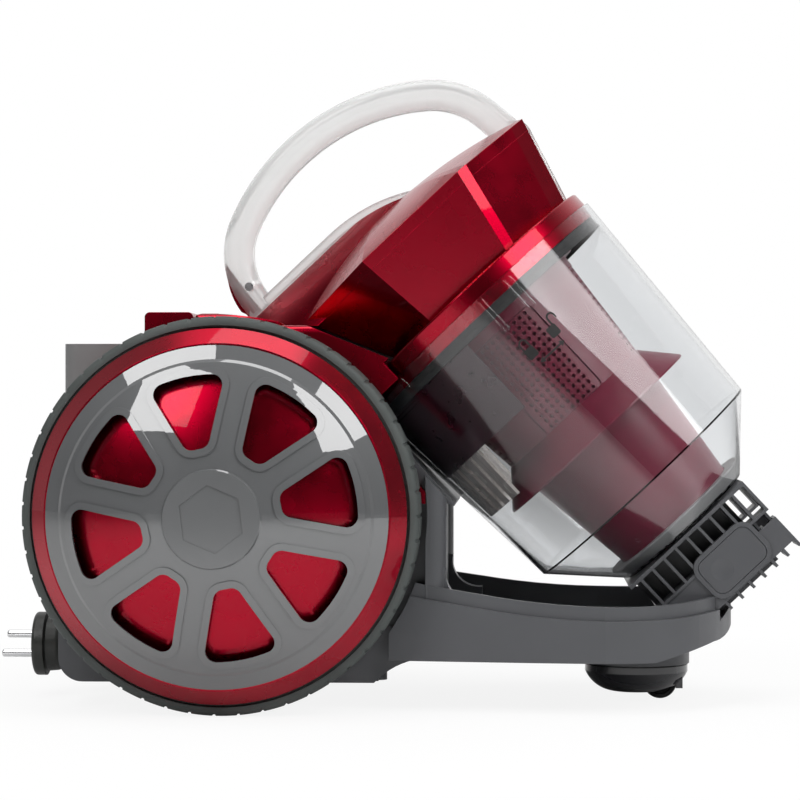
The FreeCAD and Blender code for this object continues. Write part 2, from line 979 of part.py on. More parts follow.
def handle_screw(grow=0.0):
    """Screw through the handle's rear foot."""
    reach = handle_width / 2
    return Part.makeCylinder(
        handle_screw_radius + grow, 2 * reach, Vector(handle_screw_x, -reach, handle_screw_z), Vector(0, 1, 0)
    )


filter_low = head_bottom + head_wall + 5.0


def hepa_filter():
    """Pleated filter ring in the head."""
    outer = []
    inner = []
    for index in range(pleat_count):
        for part, radius in ((0.0, filter_radius), (0.5, filter_radius - pleat_depth)):
            angle = 2 * math.pi * (index + part) / pleat_count
            outer.append((radius * math.cos(angle), radius * math.sin(angle)))
            inner.append(((radius - 2) * math.cos(angle), (radius - 2) * math.sin(angle)))
    ring = plan_slab(outer, filter_low, filter_low + filter_height)
    return lean(ring.cut(plan_slab(inner, filter_low - 1, filter_low + filter_height + 1)))


def filter_frame():
    """End rings of the filter."""
    step = 5.0
    low = tube(filter_hole_radius + 5, filter_radius - pleat_depth - 6, head_bottom + head_wall, filter_low)
    cap = cylinder(filter_radius + 4, filter_low + filter_height, filter_low + filter_height + step)
    return lean(group([low, cap]))


def foam_filter():
    """Foam disc on top of the insert, under the collar."""
    radius = grille_top_radius + 5
    return lean(cylinder(radius, flange_top + slide_gap, head_bottom - collar_wall - slide_gap))


# ---------------------------------------------------------------- chassis and housing
lean_sin = math.sin(math.radians(container_tilt_deg))
lean_cos = math.cos(math.radians(container_tilt_deg))


def at_lean(across, up):
    """X and Z of a point given across and along the container's axis."""
    return (rim_x + across * lean_cos - up * lean_sin, rim_z + across * lean_sin + up * lean_cos)


def nose_plan(inset, rear_x):
    """Plan outline of the nose, set in by an amount."""
    half_w = nose_half_width - inset
    reach = nose_tip_x - nose_widest_x - inset
    rear_w = nose_rear_half_width - inset
    side_x = (nose_rear_x + nose_widest_x) / 2
    side_y = (rear_w + half_w) / 2 + 2.5
    angles = [math.radians(a) for a in (22.5, 45.0)]
    (mid_x, mid_y), (end_x, end_y) = [
        (nose_widest_x + reach * math.sin(a), half_w * math.cos(a)) for a in angles
    ]
    return [
        (rear_x, rear_w),
        (side_x, side_y, nose_widest_x, half_w),
        (mid_x, mid_y, end_x, end_y),
        (nose_widest_x + reach, 0, end_x, -end_y),
        (mid_x, -mid_y, nose_widest_x, -half_w),
        (side_x, -side_y, rear_x, -rear_w),
    ]


def nose_side(top):
    """Side outline of the nose with its rim at a level, rising towards the columns."""
    return [
        (nose_rear_x - 30, nose_bottom_z),
        (caster_x + 8, nose_bottom_z),
        (nose_tip_x - 13, nose_bottom_z + 9.5),
        (nose_tip_x - 3, nose_bottom_z + 13.5, nose_tip_x + 1, nose_bottom_z + 19),
        (nose_tip_x + 2, top + 3),
        (nose_tip_x - 14, top + 1.8),
        (nose_widest_x - 20, top - 0.5, nose_rear_x + 30, top + 5.5),
        (nose_rear_x + 8, top + 9, nose_rear_x - 30, top + 16),
    ]


def nose():
    """Tray of the nose: outer wall with a ledge below its rim, floor, and hollow underneath."""
    rear_x = nose_back_x
    low = plan_slab(nose_plan(0, rear_x), 0, 200).common(side_slab(nose_side(rim_height_z - ledge_drop), 200))
    high = plan_slab(nose_plan(ledge_width, rear_x), 0, 200).common(side_slab(nose_side(rim_height_z), 200))
    block = low.fuse(high)
    inner = nose_plan(ledge_width + housing_wall, rear_x)
    tray = plan_slab(inner, tray_floor_z, 200)
    block = block.cut(tray)
    under = plan_slab(inner, 0, tray_floor_z - housing_wall)
    keep = cylinder(caster_ring_radius, 0, tray_floor_z, caster_x)
    return block.cut(under.cut(keep))


def caster_seat():
    """Ring below the nose with the socket of the swivel."""
    ring = cylinder(caster_ring_radius, caster_ring_bottom_z, tray_floor_z - 1, caster_x)
    pocket = cylinder(caster_ring_radius - housing_wall, 0, caster_plate_z + 1.0, caster_x)
    bore = cylinder(caster_pin_radius + axle_clearance, 0, tray_floor_z - housing_wall, caster_x)
    return ring, pocket.fuse(bore)


def column_block(grow=0.0):
    """Upright beside the cup on the right side, cut off along the cradle."""
    block = box(
        (nose_rear_x - grow, -column_half_width - grow, nose_bottom_z + 4),
        (column_front_x + grow, -column_inner_y + grow, seam_z + 30),
    )
    front_edge = [e for e in upright_edges(block) if e.CenterOfMass.x > column_front_x - 0.1]
    block = block.makeFillet(column_corner + grow, front_edge)
    return block.cut(ahead_of(-cradle_face - 1 + grow))


def column():
    """Upright with its broad foot in the nose."""
    foot = side_slab([
        (nose_rear_x, nose_bottom_z + 10),
        (column_front_x + 18, nose_bottom_z + 10),
        (column_front_x + 18, rim_height_z),
        (column_front_x + 4, rim_height_z + 5, column_front_x, rim_height_z + 20),
        (nose_rear_x, rim_height_z + 20),
    ], (column_half_width - column_inner_y) / 2 - 3, -(column_half_width + column_inner_y) / 2 + 1)
    return column_block().fuse(foot)


def ahead_of(across):
    """Everything in front of a plane that runs along the container's axis."""
    return lean(box((across, -200, -400), (across + 400, 200, 400)))


def lower_box(inset, top):
    """Lower housing between the wheels, with its walls set in."""
    rear = housing_rear_x + inset
    front = housing_front_x - inset
    low = housing_bottom_z + inset
    dent = housing_corner * 0.2929
    outline = [
        (rear, low + housing_corner),
        (rear + dent, low + dent, rear + housing_corner, low),
        (nose_rear_x - 30, low),
        (nose_rear_x - 16.5, nose_bottom_z - 4 + inset, nose_rear_x + 1, nose_bottom_z + 0.5 + inset),
        (front, nose_bottom_z + 0.6 + inset),
        (front, top),
        (rear, top),
    ]
    return side_slab(outline, housing_half_width - inset)


def axle_boss(side):
    """Boss inside the housing that holds a stub axle."""
    boss = cylinder(axle_boss_radius, axle_inner_y - 2, housing_half_width + 3)
    return wheel_place(boss, side)


def chassis():
    """Dark grey base: lower housing, nose tray, columns and the caster's seat."""
    back = -cradle_back - seat_gap
    shell = lower_box(0, seam_z).cut(lower_box(housing_wall, seam_z + 1))
    sloping_wall = lean(box((back - housing_wall, -200, -400), (back, 200, 400)))
    shell = shell.fuse(lower_box(0, seam_z).common(sloping_wall)).cut(ahead_of(back))
    columns = both_sides(column())
    ring, socket = caster_seat()
    bosses = [axle_boss(-1), axle_boss(1)]
    front_seat, rear_seat = motor_seats()
    below_seam = box((-400, -200, 0), (400, 200, seam_z))
    seats = [front_seat.common(below_seam), rear_seat]
    tall_bosses = screw_bosses(housing_bottom_z + 1, seam_z)
    body = shell.multiFuse([nose(), ring] + columns + bosses + seats + tall_bosses)
    body = body.cut(socket).cut(screw_holes())
    for side in (-1, 1):
        body = body.cut(wheel_place(cylinder(axle_radius, axle_inner_y, wheel_inner_y), side))
        body = body.cut(wheel_place(cylinder(wheel_radius + wheel_well_gap, wheel_inner_y - 1, hub_face_y), side))
    body = body.cut(cord_outlet())
    body = body.cut(inlet_envelope(seat_gap))
    for side in (-1, 1):
        body = body.cut(lean(button_block(button_bezel + seat_gap, 30, inlet_half_width + bezel_rise + seat_gap, side)))
    body = body.cut(cradle_block(seat_gap))
    return body.cut(cup_room())


def cord_outlet():
    """Hole in the rear wall for the cord."""
    return turn_x(cylinder(boot_radius + seat_gap, 0, 12), housing_rear_x - 2, 0, plug_z)


def cup_room():
    """Room for the cup and its collar below the head."""
    gap = cup_clearance
    room = turned([
        (0, -cup_depth - 1.0),
        (cup_bottom_radius + gap, -cup_depth - 1.0),
        (cup_corner_radius + gap, -cup_corner_depth - gap / 2),
        (cup_top_radius + gap, cup_top),
        (cup_top_radius + gap, head_seat),
        (0, head_seat),
    ])
    return lean(room)


def cradle_block(grow):
    """Plate that the cup leans on, with a pointed lower lip."""
    back = -cradle_back - grow
    face = -cradle_face + grow
    low = -cradle_length - grow
    outline = [
        at_lean(back, cradle_top + grow),
        at_lean(back, low + 12),
        at_lean(face - 1.5, low),
        at_lean(face, low + 1),
        at_lean(face, cradle_top + grow),
    ]
    return side_slab(outline, cradle_half_width + grow)


def cradle():
    """Dark grey cradle plate with its shallow trough."""
    return cradle_block(0).cut(cup_room())


head_flare = (head_low_half[0][0] - head_high_half[0][0]) / (head_top - head_bottom)
head_seat = head_bottom + 2.0


def deck_outline(inset):
    """Side outline of the upper housing."""
    deck = deck_z - inset
    rear = upper_rear_x + inset
    soft = deck_corner - inset
    dent = soft * 0.2929
    slope = head_high_half[0][0] - head_clearance - inset * 1.1
    back = -cradle_back - seat_gap - inset
    return [
        (rear, seam_z + seam_gap - inset),
        (rear, deck - soft),
        (rear + dent, deck - dent, rear + soft, deck),
        at_deck(slope, deck),
        at_lean(slope + head_flare * (head_top - head_seat), head_seat),
        at_lean(-cup_top_radius - seat_gap - inset, cradle_top + 5),
        at_lean(back, cradle_top + 3),
        at_z(back, seam_z + seam_gap - inset),
    ]


def rim_notch(grow=0.0):
    """Square recess behind the rim of the cup and its collar, above the cradle."""
    low = (-cradle_back - rim_room_behind - grow, -cradle_half_width - grow, cradle_top - grow)
    return lean(box(low, (0, cradle_half_width + grow, head_seat + rim_room_above + grow)))


def at_deck(across, z):
    """Where a line along the head's rear face meets a height. Across is its place at the head's top."""
    x0, z0 = at_lean(across, head_top)
    x1, z1 = at_lean(across + head_flare * (head_top - head_bottom), head_bottom)
    return (x0 + (x1 - x0) * (z - z0) / (z1 - z0), z)


def at_z(across, z):
    """Point at a height on a line along the container's axis."""
    up = (z - rim_z - across * lean_sin) / lean_cos
    return at_lean(across, up)


def pedal_plan(grow, low, high, side=-1):
    """Block in plan under a pedal, grown on every side."""
    inner = pedal_inner_y - grow
    outer = pedal_outer_y + grow
    block = box((pedal_rear_x - grow, -outer, low), (pedal_front_x + grow, -inner, high))
    block = block.makeFillet(6 + grow, upright_edges(block))
    return block if side < 0 else mirrored_y(block)


def upper_housing():
    """Glossy red upper housing with wells for the two pedals and the seat of the container."""
    outer = side_slab(deck_outline(0), housing_half_width)
    inner = side_slab(deck_outline(housing_wall), housing_half_width - housing_wall)
    inner = inner.cut(rim_notch(housing_wall))
    hump_top = deck_z + hump_rise
    soft = hump_round
    dent = soft * 0.2929
    hump = side_slab([
        (hump_rear_x, deck_z - 7),
        (hump_rear_x, hump_top - soft),
        (hump_rear_x + dent, hump_top - dent, hump_rear_x + soft, hump_top),
        (hump_front_x - soft, hump_top),
        (hump_front_x - dent, hump_top - dent, hump_front_x, hump_top - soft),
        (hump_front_x, deck_z - 2),
    ], pedal_outer_y)
    rounds = [e for e in outer.Edges if abs(abs(e.CenterOfMass.y) - housing_half_width) < 0.01
              and e.BoundBox.ZMin > seam_z + 20 and e.BoundBox.XMax < head_clear_x]
    outer = outer.makeFillet(shoulder_round, rounds)
    pieces = [hump, motor_seats()[0].common(outer)] + cheeks() + screw_bosses(seam_z + seam_gap, seam_z + 25)
    for side in (-1, 1):
        pieces.append(pedal_plan(pedal_gap + housing_wall, deck_z - pedal_travel - 8, deck_z - 1, side).common(outer))
    duct = port_cylinder(port_radius + port_seal_width + seat_gap + housing_wall, 0, port_length)
    pieces.append(lean(duct).common(outer))
    shell = outer.cut(inner).multiFuse(pieces)
    for side in (-1, 1):
        shell = shell.cut(pedal_plan(pedal_gap, deck_z - pedal_travel - 5, deck_z + 20, side))
        shell = shell.cut(pedal_stem(pedal_gap, side))
        shell = shell.cut(wheel_place(cylinder(axle_boss_radius + seam_gap, 0, housing_half_width + 4), side))
    shell = shell.cut(group(both_sides(column_block(seam_gap))))
    shell = shell.cut(vents()).cut(cup_room()).cut(rim_notch()).cut(screw_holes())
    shell = shell.cut(lean(port_cylinder(port_radius + port_seal_width + seat_gap, 0, port_seal_end)))
    return shell.cut(lean(port_cylinder(port_radius + 1, 0, port_length + 1)))


def cheeks():
    """Side walls of the saddle that reach forward beside the cup."""
    outline = [
        at_lean(-cradle_back - 1, cup_top - 1),
        at_lean(-cradle_back - 1, head_seat + 1),
        at_lean(head_low_half[0][0] - head_clearance, head_bottom),
        at_lean(head_low_half[1][0], head_bottom - 1),
        at_lean(head_low_half[1][0], cup_top - 1),
    ]
    inner_y = cradle_half_width + seat_gap
    thickness = housing_half_width - inner_y
    return both_sides(side_slab(outline, thickness / 2, -(inner_y + thickness / 2)))


def pedal_stem(grow, side):
    """Guide stem under a pedal."""
    x = (pedal_rear_x + pedal_front_x) / 2
    y = (pedal_inner_y + pedal_outer_y) / 2
    low = deck_z - pedal_stem_length - 5 * grow
    block = box((x - 6 - grow, -y - 5 - grow, low), (x + 6 + grow, -y + 5 + grow, deck_z - 4))
    return block if side < 0 else mirrored_y(block)


def pedal(side):
    """Foot pedal: crowned red cap with its guide stem."""
    base = deck_z - 5 + 0.2
    inner = pedal_inner_y
    outer = pedal_outer_y
    top_rear = deck_z + pedal_rise
    outline = [
        (pedal_rear_x, base),
        (pedal_rear_x, top_rear - 1.5),
        (pedal_rear_x + 4, top_rear, pedal_rear_x + 14, top_rear - 0.3),
        (pedal_front_x - 16, top_rear - 2.5, pedal_front_x - 2, deck_z + 1.8),
        (pedal_front_x, deck_z + 0.5),
        (pedal_front_x, base),
    ]
    cap = side_slab(outline, (outer - inner) / 2, -(outer + inner) / 2)
    soft = pedal_round
    dent = soft * 0.2929
    across = wire_of([
        (-outer, base),
        (-inner, base),
        (-inner, top_rear - 2),
        (-inner - 0.6, top_rear - 0.6, -inner - 2, top_rear),
        (-outer + soft, top_rear),
        (-outer + dent, top_rear - dent, -outer, top_rear - soft),
    ], lambda y, z: Vector(pedal_rear_x - 1, y, z))
    cap = cap.common(Part.Face(across).extrude(Vector(pedal_front_x - pedal_rear_x + 2, 0, 0)))
    cap = cap.common(pedal_plan(0, base, deck_z + 20))
    cap = cap.fuse(pedal_stem(0, -1))
    return cap if side < 0 else mirrored_y(cap)



# ---------------------------------------------------------------- caster
def caster_fork():
    """Swivel bowl with its pin, slot for the roller and axle hole."""
    low = caster_bowl_bottom_z
    rim = caster_ring_bottom_z - 0.8
    radius = caster_bowl_radius
    bowl = turned([
        (0, low),
        (radius * 0.42, low + 0.6),
        (radius * 0.83, low + 5.5, radius, rim - 4),
        (radius, rim),
        (caster_ring_radius - housing_wall - 0.6, rim),
        (caster_ring_radius - housing_wall - 0.6, caster_plate_z),
        (0, caster_plate_z),
    ])
    stem = cylinder(caster_pin_radius, caster_plate_z - 2, tray_floor_z - housing_wall - 1)
    body = bowl.fuse(stem)
    slot_half = roller_width / 2 + 1.0
    reach = roller_radius + 1.6
    slot = box((roller_trail - reach, -slot_half, -5), (roller_trail + reach, slot_half, roller_radius * 2 + 1.2))
    lug = box((roller_trail + 9, -slot_half - 3, 7.0), (roller_trail + 13, slot_half + 3, rim - 4))
    body = body.cut(slot).fuse(lug.cut(slot))
    hole = Part.makeCylinder(
        roller_axle_radius, 2 * slot_half + 8,
        Vector(roller_trail, -slot_half - 4, roller_radius), Vector(0, 1, 0),
    )
    body = body.cut(hole)
    body.translate(Vector(caster_x, 0, 0))
    return body


def caster_axle():
    """Steel pin through the fork."""
    half = roller_width / 2 + 4.5
    return Part.makeCylinder(
        roller_axle_radius, 2 * half, Vector(caster_x + roller_trail, -half, roller_radius), Vector(0, 1, 0)
    )


def caster_roller():
    """Small roller with a crowned tread and a recess in each face."""
    half = roller_width / 2
    radius = roller_radius
    bore = roller_axle_radius + axle_clearance
    wheel = turned([
        (bore, -half),
        (bore + 2, -half),
        (bore + 3, -half + 1.2),
        (radius - 3.5, -half + 1.2),
        (radius - 3, -half),
        (radius - 1.2, -half),
        (radius, 0, radius - 1.2, half),
        (radius - 3, half),
        (radius - 3.5, half - 1.2),
        (bore + 3, half - 1.2),
        (bore + 2, half),
        (bore, half),
    ])
    wheel.rotate(Vector(0, 0, 0), Vector(1, 0, 0), 90)
    wheel.translate(Vector(caster_x + roller_trail, 0, radius))
    return wheel


# ---------------------------------------------------------------- hose inlet below the cup
inlet_top = -cup_depth - inlet_gap


def inlet_slab(b_low, b_high, down_low, down_high, half_width, y=0.0):
    """Block in the inlet's own directions: across, away from the cup, and sideways."""
    return box((b_low, y - half_width, inlet_top - down_high), (b_high, y + half_width, inlet_top - down_low))


def inlet_envelope(grow):
    """Outside of the hose inlet, in place."""
    block = inlet_slab(
        -inlet_back - grow, inlet_front + grow, -grow, inlet_length + grow, inlet_half_width + grow
    )
    return lean(block)


def hose_bore(radius, b_low, b_high):
    """Round passage for the hose end."""
    return Part.makeCylinder(radius, b_high - b_low, Vector(b_low, 0, inlet_top - hose_centre), Vector(1, 0, 0))


def hose_inlet():
    """Ribbed housing with the round socket for the hose and the elbow up to the cup."""
    skin_y = inlet_half_width - 1.5
    core = inlet_slab(-inlet_back + 4, hose_mouth, 0, hose_centre + hose_radius + hose_socket_wall,
                      hose_radius + hose_socket_wall)
    plate = inlet_slab(-inlet_back, inlet_front, 0, 2.2, inlet_half_width)
    mid_plate = inlet_slab(-inlet_back + 3, inlet_front, inlet_stage - 1, inlet_stage + 0.8, inlet_half_width)
    pieces = [plate, mid_plate]
    count = int((inlet_front + inlet_back) / inlet_rib_pitch)
    for index in range(count + 1):
        spot = inlet_front - inlet_rib - index * inlet_rib_pitch
        if spot < -inlet_back:
            break
        pieces.append(inlet_slab(spot, spot + inlet_rib, 0, inlet_stage, inlet_half_width))
        low = inlet_stage if spot < hose_mouth - 2 else inlet_neck
        pieces.append(inlet_slab(spot, spot + inlet_rib, low, inlet_length, inlet_half_width - 1.0))
    for side in (-1, 1):
        pieces.append(inlet_slab(-inlet_back + 3, hose_mouth, inlet_stage, inlet_length - 5, 0.75, side * skin_y))
        pieces.append(inlet_slab(hose_mouth - 1, inlet_front, inlet_neck, inlet_length - 5, 0.75, side * skin_y))
        pieces.append(button_block(button_bezel, skin_y - 3, inlet_half_width + bezel_rise, side))
    body = core.multiFuse(pieces)
    for side in (-1, 1):
        body = body.cut(button_block(slide_gap, skin_y - 12, inlet_half_width + 5, side))
        body = body.cut(button_stem(slide_gap, hose_radius + hose_socket_wall, side))
    body = body.cut(hose_bore(hose_radius, -hose_stop, inlet_front + 5))
    body = body.cut(hose_bore(hose_radius + 4, hose_mouth, inlet_front + 5))
    elbow = cylinder(hose_radius - 1, inlet_top - hose_centre, inlet_top + 1)
    return lean(body.cut(elbow))


def button_block(grow, y_low, y_high, side):
    """Rounded block in the side of the inlet, for the button and its opening."""
    half_l = button_length / 2 + grow
    half_h = button_height / 2 + grow
    middle = inlet_top - button_down
    block = box((button_across - half_l, y_low, middle - half_h), (button_across + half_l, y_high, middle + half_h))
    edges = [e for e in block.Edges if e.BoundBox.YLength > (y_high - y_low) * 0.99]
    block = block.makeFillet(button_corner + grow, edges)
    return block if side > 0 else mirrored_y(block)


def button_stem(grow, inner_y, side):
    """Guide post behind the button."""
    middle = inlet_top - button_down
    block = box(
        (button_across - 5 - grow, inner_y, middle - 4 - grow),
        (button_across + 5 + grow, inlet_half_width - 4, middle + 4 + grow),
    )
    return block if side > 0 else mirrored_y(block)


def hose_button(side):
    """Release button with its guide post."""
    cap = button_block(0, inlet_half_width - 4.5, inlet_half_width + 0.6, 1)
    dimple_y = inlet_half_width + dimple_radius - dimple_depth
    dimple = Part.makeSphere(dimple_radius, Vector(button_across - 8, dimple_y, inlet_top - button_down))
    stem = button_stem(0, hose_radius + hose_socket_wall + button_travel + slide_gap, 1)
    cap = cap.cut(dimple).fuse(stem)
    return lean(cap if side > 0 else mirrored_y(cap))



# ---------------------------------------------------------------- rear bracket, plug and cord
def rear_bracket():
    """Grey post behind the housing with the slot that parks the floor tool."""
    half = bracket_half_width
    low = seam_z + 1
    post = box((bracket_rear_x, -half, low), (bracket_front_x + 10, half, bracket_top_z))
    rear_edges = [e for e in upright_edges(post) if e.CenterOfMass.x < bracket_rear_x + 1]
    post = post.makeFillet(bracket_corner, rear_edges)
    slot_low = bracket_top_z - bracket_slot_height
    mouth = box((bracket_rear_x - 1, -bracket_slot_half_width, slot_low),
                (bracket_rear_x + bracket_slot_depth, bracket_slot_half_width, bracket_top_z + 1))
    wide = box((bracket_rear_x + 5, -bracket_slot_half_width - 5, slot_low),
               (bracket_rear_x + bracket_slot_depth, bracket_slot_half_width + 5, bracket_top_z + 1))
    housing = side_slab(deck_outline(-seam_gap), housing_half_width)
    return post.cut(housing).cut(mouth).cut(wide)


def plug_body():
    """Round body of the mains plug with grip steps and its neck."""
    length = plug_front_x - plug_rear_x
    body = turned([
        (0, 0),
        (plug_radius - 2, 0),
        (plug_radius - 0.6, 0.6, plug_radius, 2),
        (plug_radius, 7),
        (plug_radius - 2.5, 8),
        (plug_radius - 3, length - 5),
        (plug_radius - 5, length - 1.5, boot_radius + 1.5, length),
        (0, length),
    ])
    well = tube(plug_radius - 4.5, plug_radius - 14, -1, plug_face_recess)
    body = turn_x(body.cut(well), plug_rear_x, 0, plug_z)
    for pin in plug_pin_places():
        body = body.cut(pin)
    return body


def plug_pin_places():
    """The two pins of the plug with their roots in the body."""
    pins = []
    roll = math.radians(plug_roll_deg)
    for side in (-1, 1):
        y = side * plug_pin_pitch / 2 * math.sin(roll)
        z = plug_z + side * plug_pin_pitch / 2 * math.cos(roll)
        start = plug_rear_x - plug_pin_length
        face = plug_rear_x + plug_face_recess
        shank = Part.makeCylinder(plug_pin_radius, face - start, Vector(start, y, z), Vector(1, 0, 0))
        ends = [e for e in shank.Edges if e.BoundBox.XMax < start + 0.1]
        root = Part.makeCylinder(plug_root_radius, plug_root_length, Vector(face, y, z), Vector(1, 0, 0))
        pins.append(shank.makeFillet(plug_pin_round, ends).fuse(root))
    return pins


def plug_pins():
    """Chromed pins."""
    return group(plug_pin_places())


def cord_boot():
    """Strain relief between the plug and the outlet, with grooves."""
    length = housing_rear_x + housing_wall - plug_front_x + 1
    low = boot_radius - 1.5
    points = [(0, 0), (boot_radius, 0)]
    for index in range(3):
        start = 1.5 + index * 2.0
        points += [(boot_radius - 0.3, start), (low, start + 0.3), (low, start + 0.9), (boot_radius - 0.4, start + 1.2)]
    points += [(boot_radius - 0.5, length), (0, length)]
    return turn_x(turned(points), plug_front_x, 0, plug_z)


# ---------------------------------------------------------------- inside the housing
reel_floor = housing_bottom_z + housing_wall


def cord_reel():
    """Spool of the cord reel."""
    top = reel_z + reel_height
    inner = reel_axle_radius + axle_clearance
    spool = turned([
        (inner, reel_z),
        (reel_radius, reel_z),
        (reel_radius, reel_z + reel_flange),
        (reel_hub_radius, reel_z + reel_flange),
        (reel_hub_radius, top - reel_flange),
        (reel_radius, top - reel_flange),
        (reel_radius, top),
        (inner, top),
        (inner, top - 3),
        (reel_hub_radius - 3, top - 3),
        (reel_hub_radius - 3, reel_z + 3),
        (inner + 3, reel_z + 3),
        (inner + 3, reel_z + 12),
        (inner, reel_z + 12),
    ])
    spool.translate(Vector(reel_x, 0, 0))
    return spool


def wound_cord():
    """Closed body of the wound mains cord."""
    coil = tube(cord_coil_radius, reel_hub_radius, reel_z + reel_flange, reel_z + reel_height - reel_flange)
    coil.translate(Vector(reel_x, 0, 0))
    return coil


def reel_axle():
    """Steel pin of the reel with its head."""
    pin = cylinder(reel_axle_radius, reel_floor, reel_z + reel_height + 3, reel_x)
    head = cylinder(reel_axle_radius + 3, reel_z + reel_height + slide_gap, reel_z + reel_height + 3, reel_x)
    return pin.fuse(head)


def reel_spring():
    """Drum of the flat spring that winds the reel back."""
    drum = cylinder(reel_spring_radius, reel_floor, reel_z - slide_gap, reel_x)
    return drum.cut(cylinder(reel_axle_radius, 0, reel_z, reel_x))


def along_motor(points):
    """Solid turned about the motor's axis from an outline in radius and distance ahead of its rear."""
    return turn_x(turned(points), motor_x - motor_length, 0, motor_z)


def motor_casing():
    """Sheet casing of the motor: frame at the rear, fan housing in front."""
    wall = motor_wall
    split = motor_length
    front = motor_length + fan_length
    return along_motor([
        (shaft_radius + axle_clearance, 0),
        (motor_radius - 3, 0),
        (motor_radius, 3),
        (motor_radius, split - 3),
        (fan_radius - 4, split),
        (fan_radius, split + 4),
        (fan_radius, front - 3),
        (fan_radius - 3, front),
        (15, front),
        (15, front - wall),
        (fan_radius - 3 - wall, front - wall),
        (fan_radius - wall, front - 3 - wall),
        (fan_radius - wall, split + 4 + wall),
        (fan_radius - 4 - wall, split + wall),
        (shaft_radius + 6, split + wall),
        (shaft_radius + 6, split),
        (motor_radius - wall, split - 3 - wall),
        (motor_radius - wall, 3 + wall),
        (motor_radius - 3 - wall, wall + 6),
        (shaft_radius + axle_clearance, wall + 6),
    ])


def motor_stator():
    """Laminated stack pressed into the frame."""
    start = (motor_length - armature_length) / 2 + 4
    return along_motor([
        (armature_radius + 1, start),
        (motor_radius - motor_wall, start),
        (motor_radius - motor_wall, start + armature_length),
        (armature_radius + 1, start + armature_length),
    ])


def motor_rotor():
    """Armature, commutator and shaft."""
    start = (motor_length - armature_length) / 2 + 4
    end = motor_length + fan_length - 8
    return along_motor([
        (0, 1),
        (shaft_radius, 1),
        (shaft_radius, start - 4),
        (12, start - 4),
        (12, start),
        (armature_radius, start),
        (armature_radius, start + armature_length),
        (shaft_radius, start + armature_length),
        (shaft_radius, end),
        (0, end),
    ])


def fan_impeller():
    """Closed radial fan on the shaft."""
    low = motor_length + motor_wall + 4
    high = low + impeller_height
    hub = along_motor([
        (shaft_radius, low),
        (impeller_radius, low),
        (impeller_radius, low + 1.2),
        (shaft_radius + 5, low + 1.2),
        (shaft_radius + 5, high),
        (shaft_radius, high),
    ])
    shroud = along_motor([
        (16, high - 1.2),
        (impeller_radius, high - 4.2),
        (impeller_radius, high - 3),
        (16, high),
    ])
    blades = []
    for index in range(impeller_blades):
        blade = box((18, -0.6, low + 0.6), (impeller_radius - 1, 0.6, high - 3.5))
        blade.rotate(Vector(18, 0, 0), Vector(0, 0, 1), 35)
        blade.rotate(Vector(0, 0, 0), Vector(0, 0, 1), 360 / impeller_blades * index)
        blades.append(turn_x(blade, motor_x - motor_length, 0, motor_z))
    rim = along_motor([(0, low), (impeller_radius, low), (impeller_radius, high - 3.6), (0, high - 1)])
    blades = [blade.common(rim) for blade in blades]
    return hub.multiFuse([shroud] + blades)


def motor_mount(radius, start):
    """Rubber ring round the motor."""
    return along_motor([
        (radius, start),
        (radius + mount_thickness, start),
        (radius + mount_thickness, start + mount_length),
        (radius, start + mount_length),
    ])


def front_mount_start():
    """Start of the front ring, so that it is centred on the bulkhead."""
    return bulkhead_x - housing_wall / 2 - (motor_x - motor_length) - mount_length / 2


def motor_seats():
    """Plates across the housing that hold the motor's rubber rings."""
    side = housing_half_width - 1
    front = box((bulkhead_x - housing_wall, -side, reel_floor - 1), (bulkhead_x, side, deck_z - 1))
    rear_x = motor_x - motor_length + 3 + mount_length / 2
    rear = box((rear_x - housing_wall, -side, reel_z + reel_height + 6), (rear_x, side, seam_z))
    hole = turn_x(cylinder(fan_radius + mount_thickness, 0, 60), bulkhead_x - 30, 0, motor_z)
    rear_hole = turn_x(cylinder(motor_radius + mount_thickness, 0, 60), rear_x - 30, 0, motor_z)
    return front.cut(hole), rear.cut(rear_hole)


def exhaust_filter():
    """Filter pad behind the vents."""
    x = upper_rear_x + housing_wall + seam_gap
    half = housing_half_width - housing_wall - seam_gap
    return box((x, -half, seam_z + 3), (x + filter_pad_thickness, half, deck_z - deck_corner))


def vents():
    """Slots in the rear wall, on both sides of the bracket."""
    slots = []
    for side in (-1, 1):
        for index in range(vent_count):
            z = seam_z + vent_low + index * vent_pitch
            y = side * (bracket_half_width + housing_half_width) / 2
            slots.append(box((upper_rear_x - 1, y - 12, z), (upper_rear_x + housing_wall + 1, y + 12, z + vent_height)))
    return group(slots)


def power_switch():
    """Switch under the power pedal."""
    x = (pedal_rear_x + pedal_front_x) / 2
    outer = housing_half_width - housing_wall - seam_gap
    top = deck_z - pedal_stem_length - pedal_travel - slide_gap
    body = box((x - 11, -outer, top - 16), (x + 11, -outer + 17, top - 2))
    return body.fuse(cylinder(3, top - 3, top, x, -(pedal_inner_y + pedal_outer_y) / 2))


def inlet_seal():
    """Rubber ring between the hose inlet and the cup's floor."""
    ring = tube(inlet_hole_radius + 5, hose_radius + 0.5, inlet_top, -cup_depth - slide_gap)
    return lean(ring)


def port_seal():
    """Rubber ring between the head's air port and the housing."""
    outer = port_cylinder(port_radius + port_seal_width, slide_gap, port_seal_end)
    return lean(outer.cut(port_cylinder(port_radius + 1, 0, port_seal_end + 1)))


def screw_holes():
    """Room for the screws between the two halves of the housing."""
    holes = []
    for x, y in screw_spots:
        for side in (-1, 1):
            seat = seam_z - screw_below_seam
            holes.append(cylinder(screw_radius, seat - 1, seam_z + screw_above_seam + 2, x, side * y))
            holes.append(cylinder(screw_head_radius + 0.5, 0, seat, x, side * y))
    return group(holes)


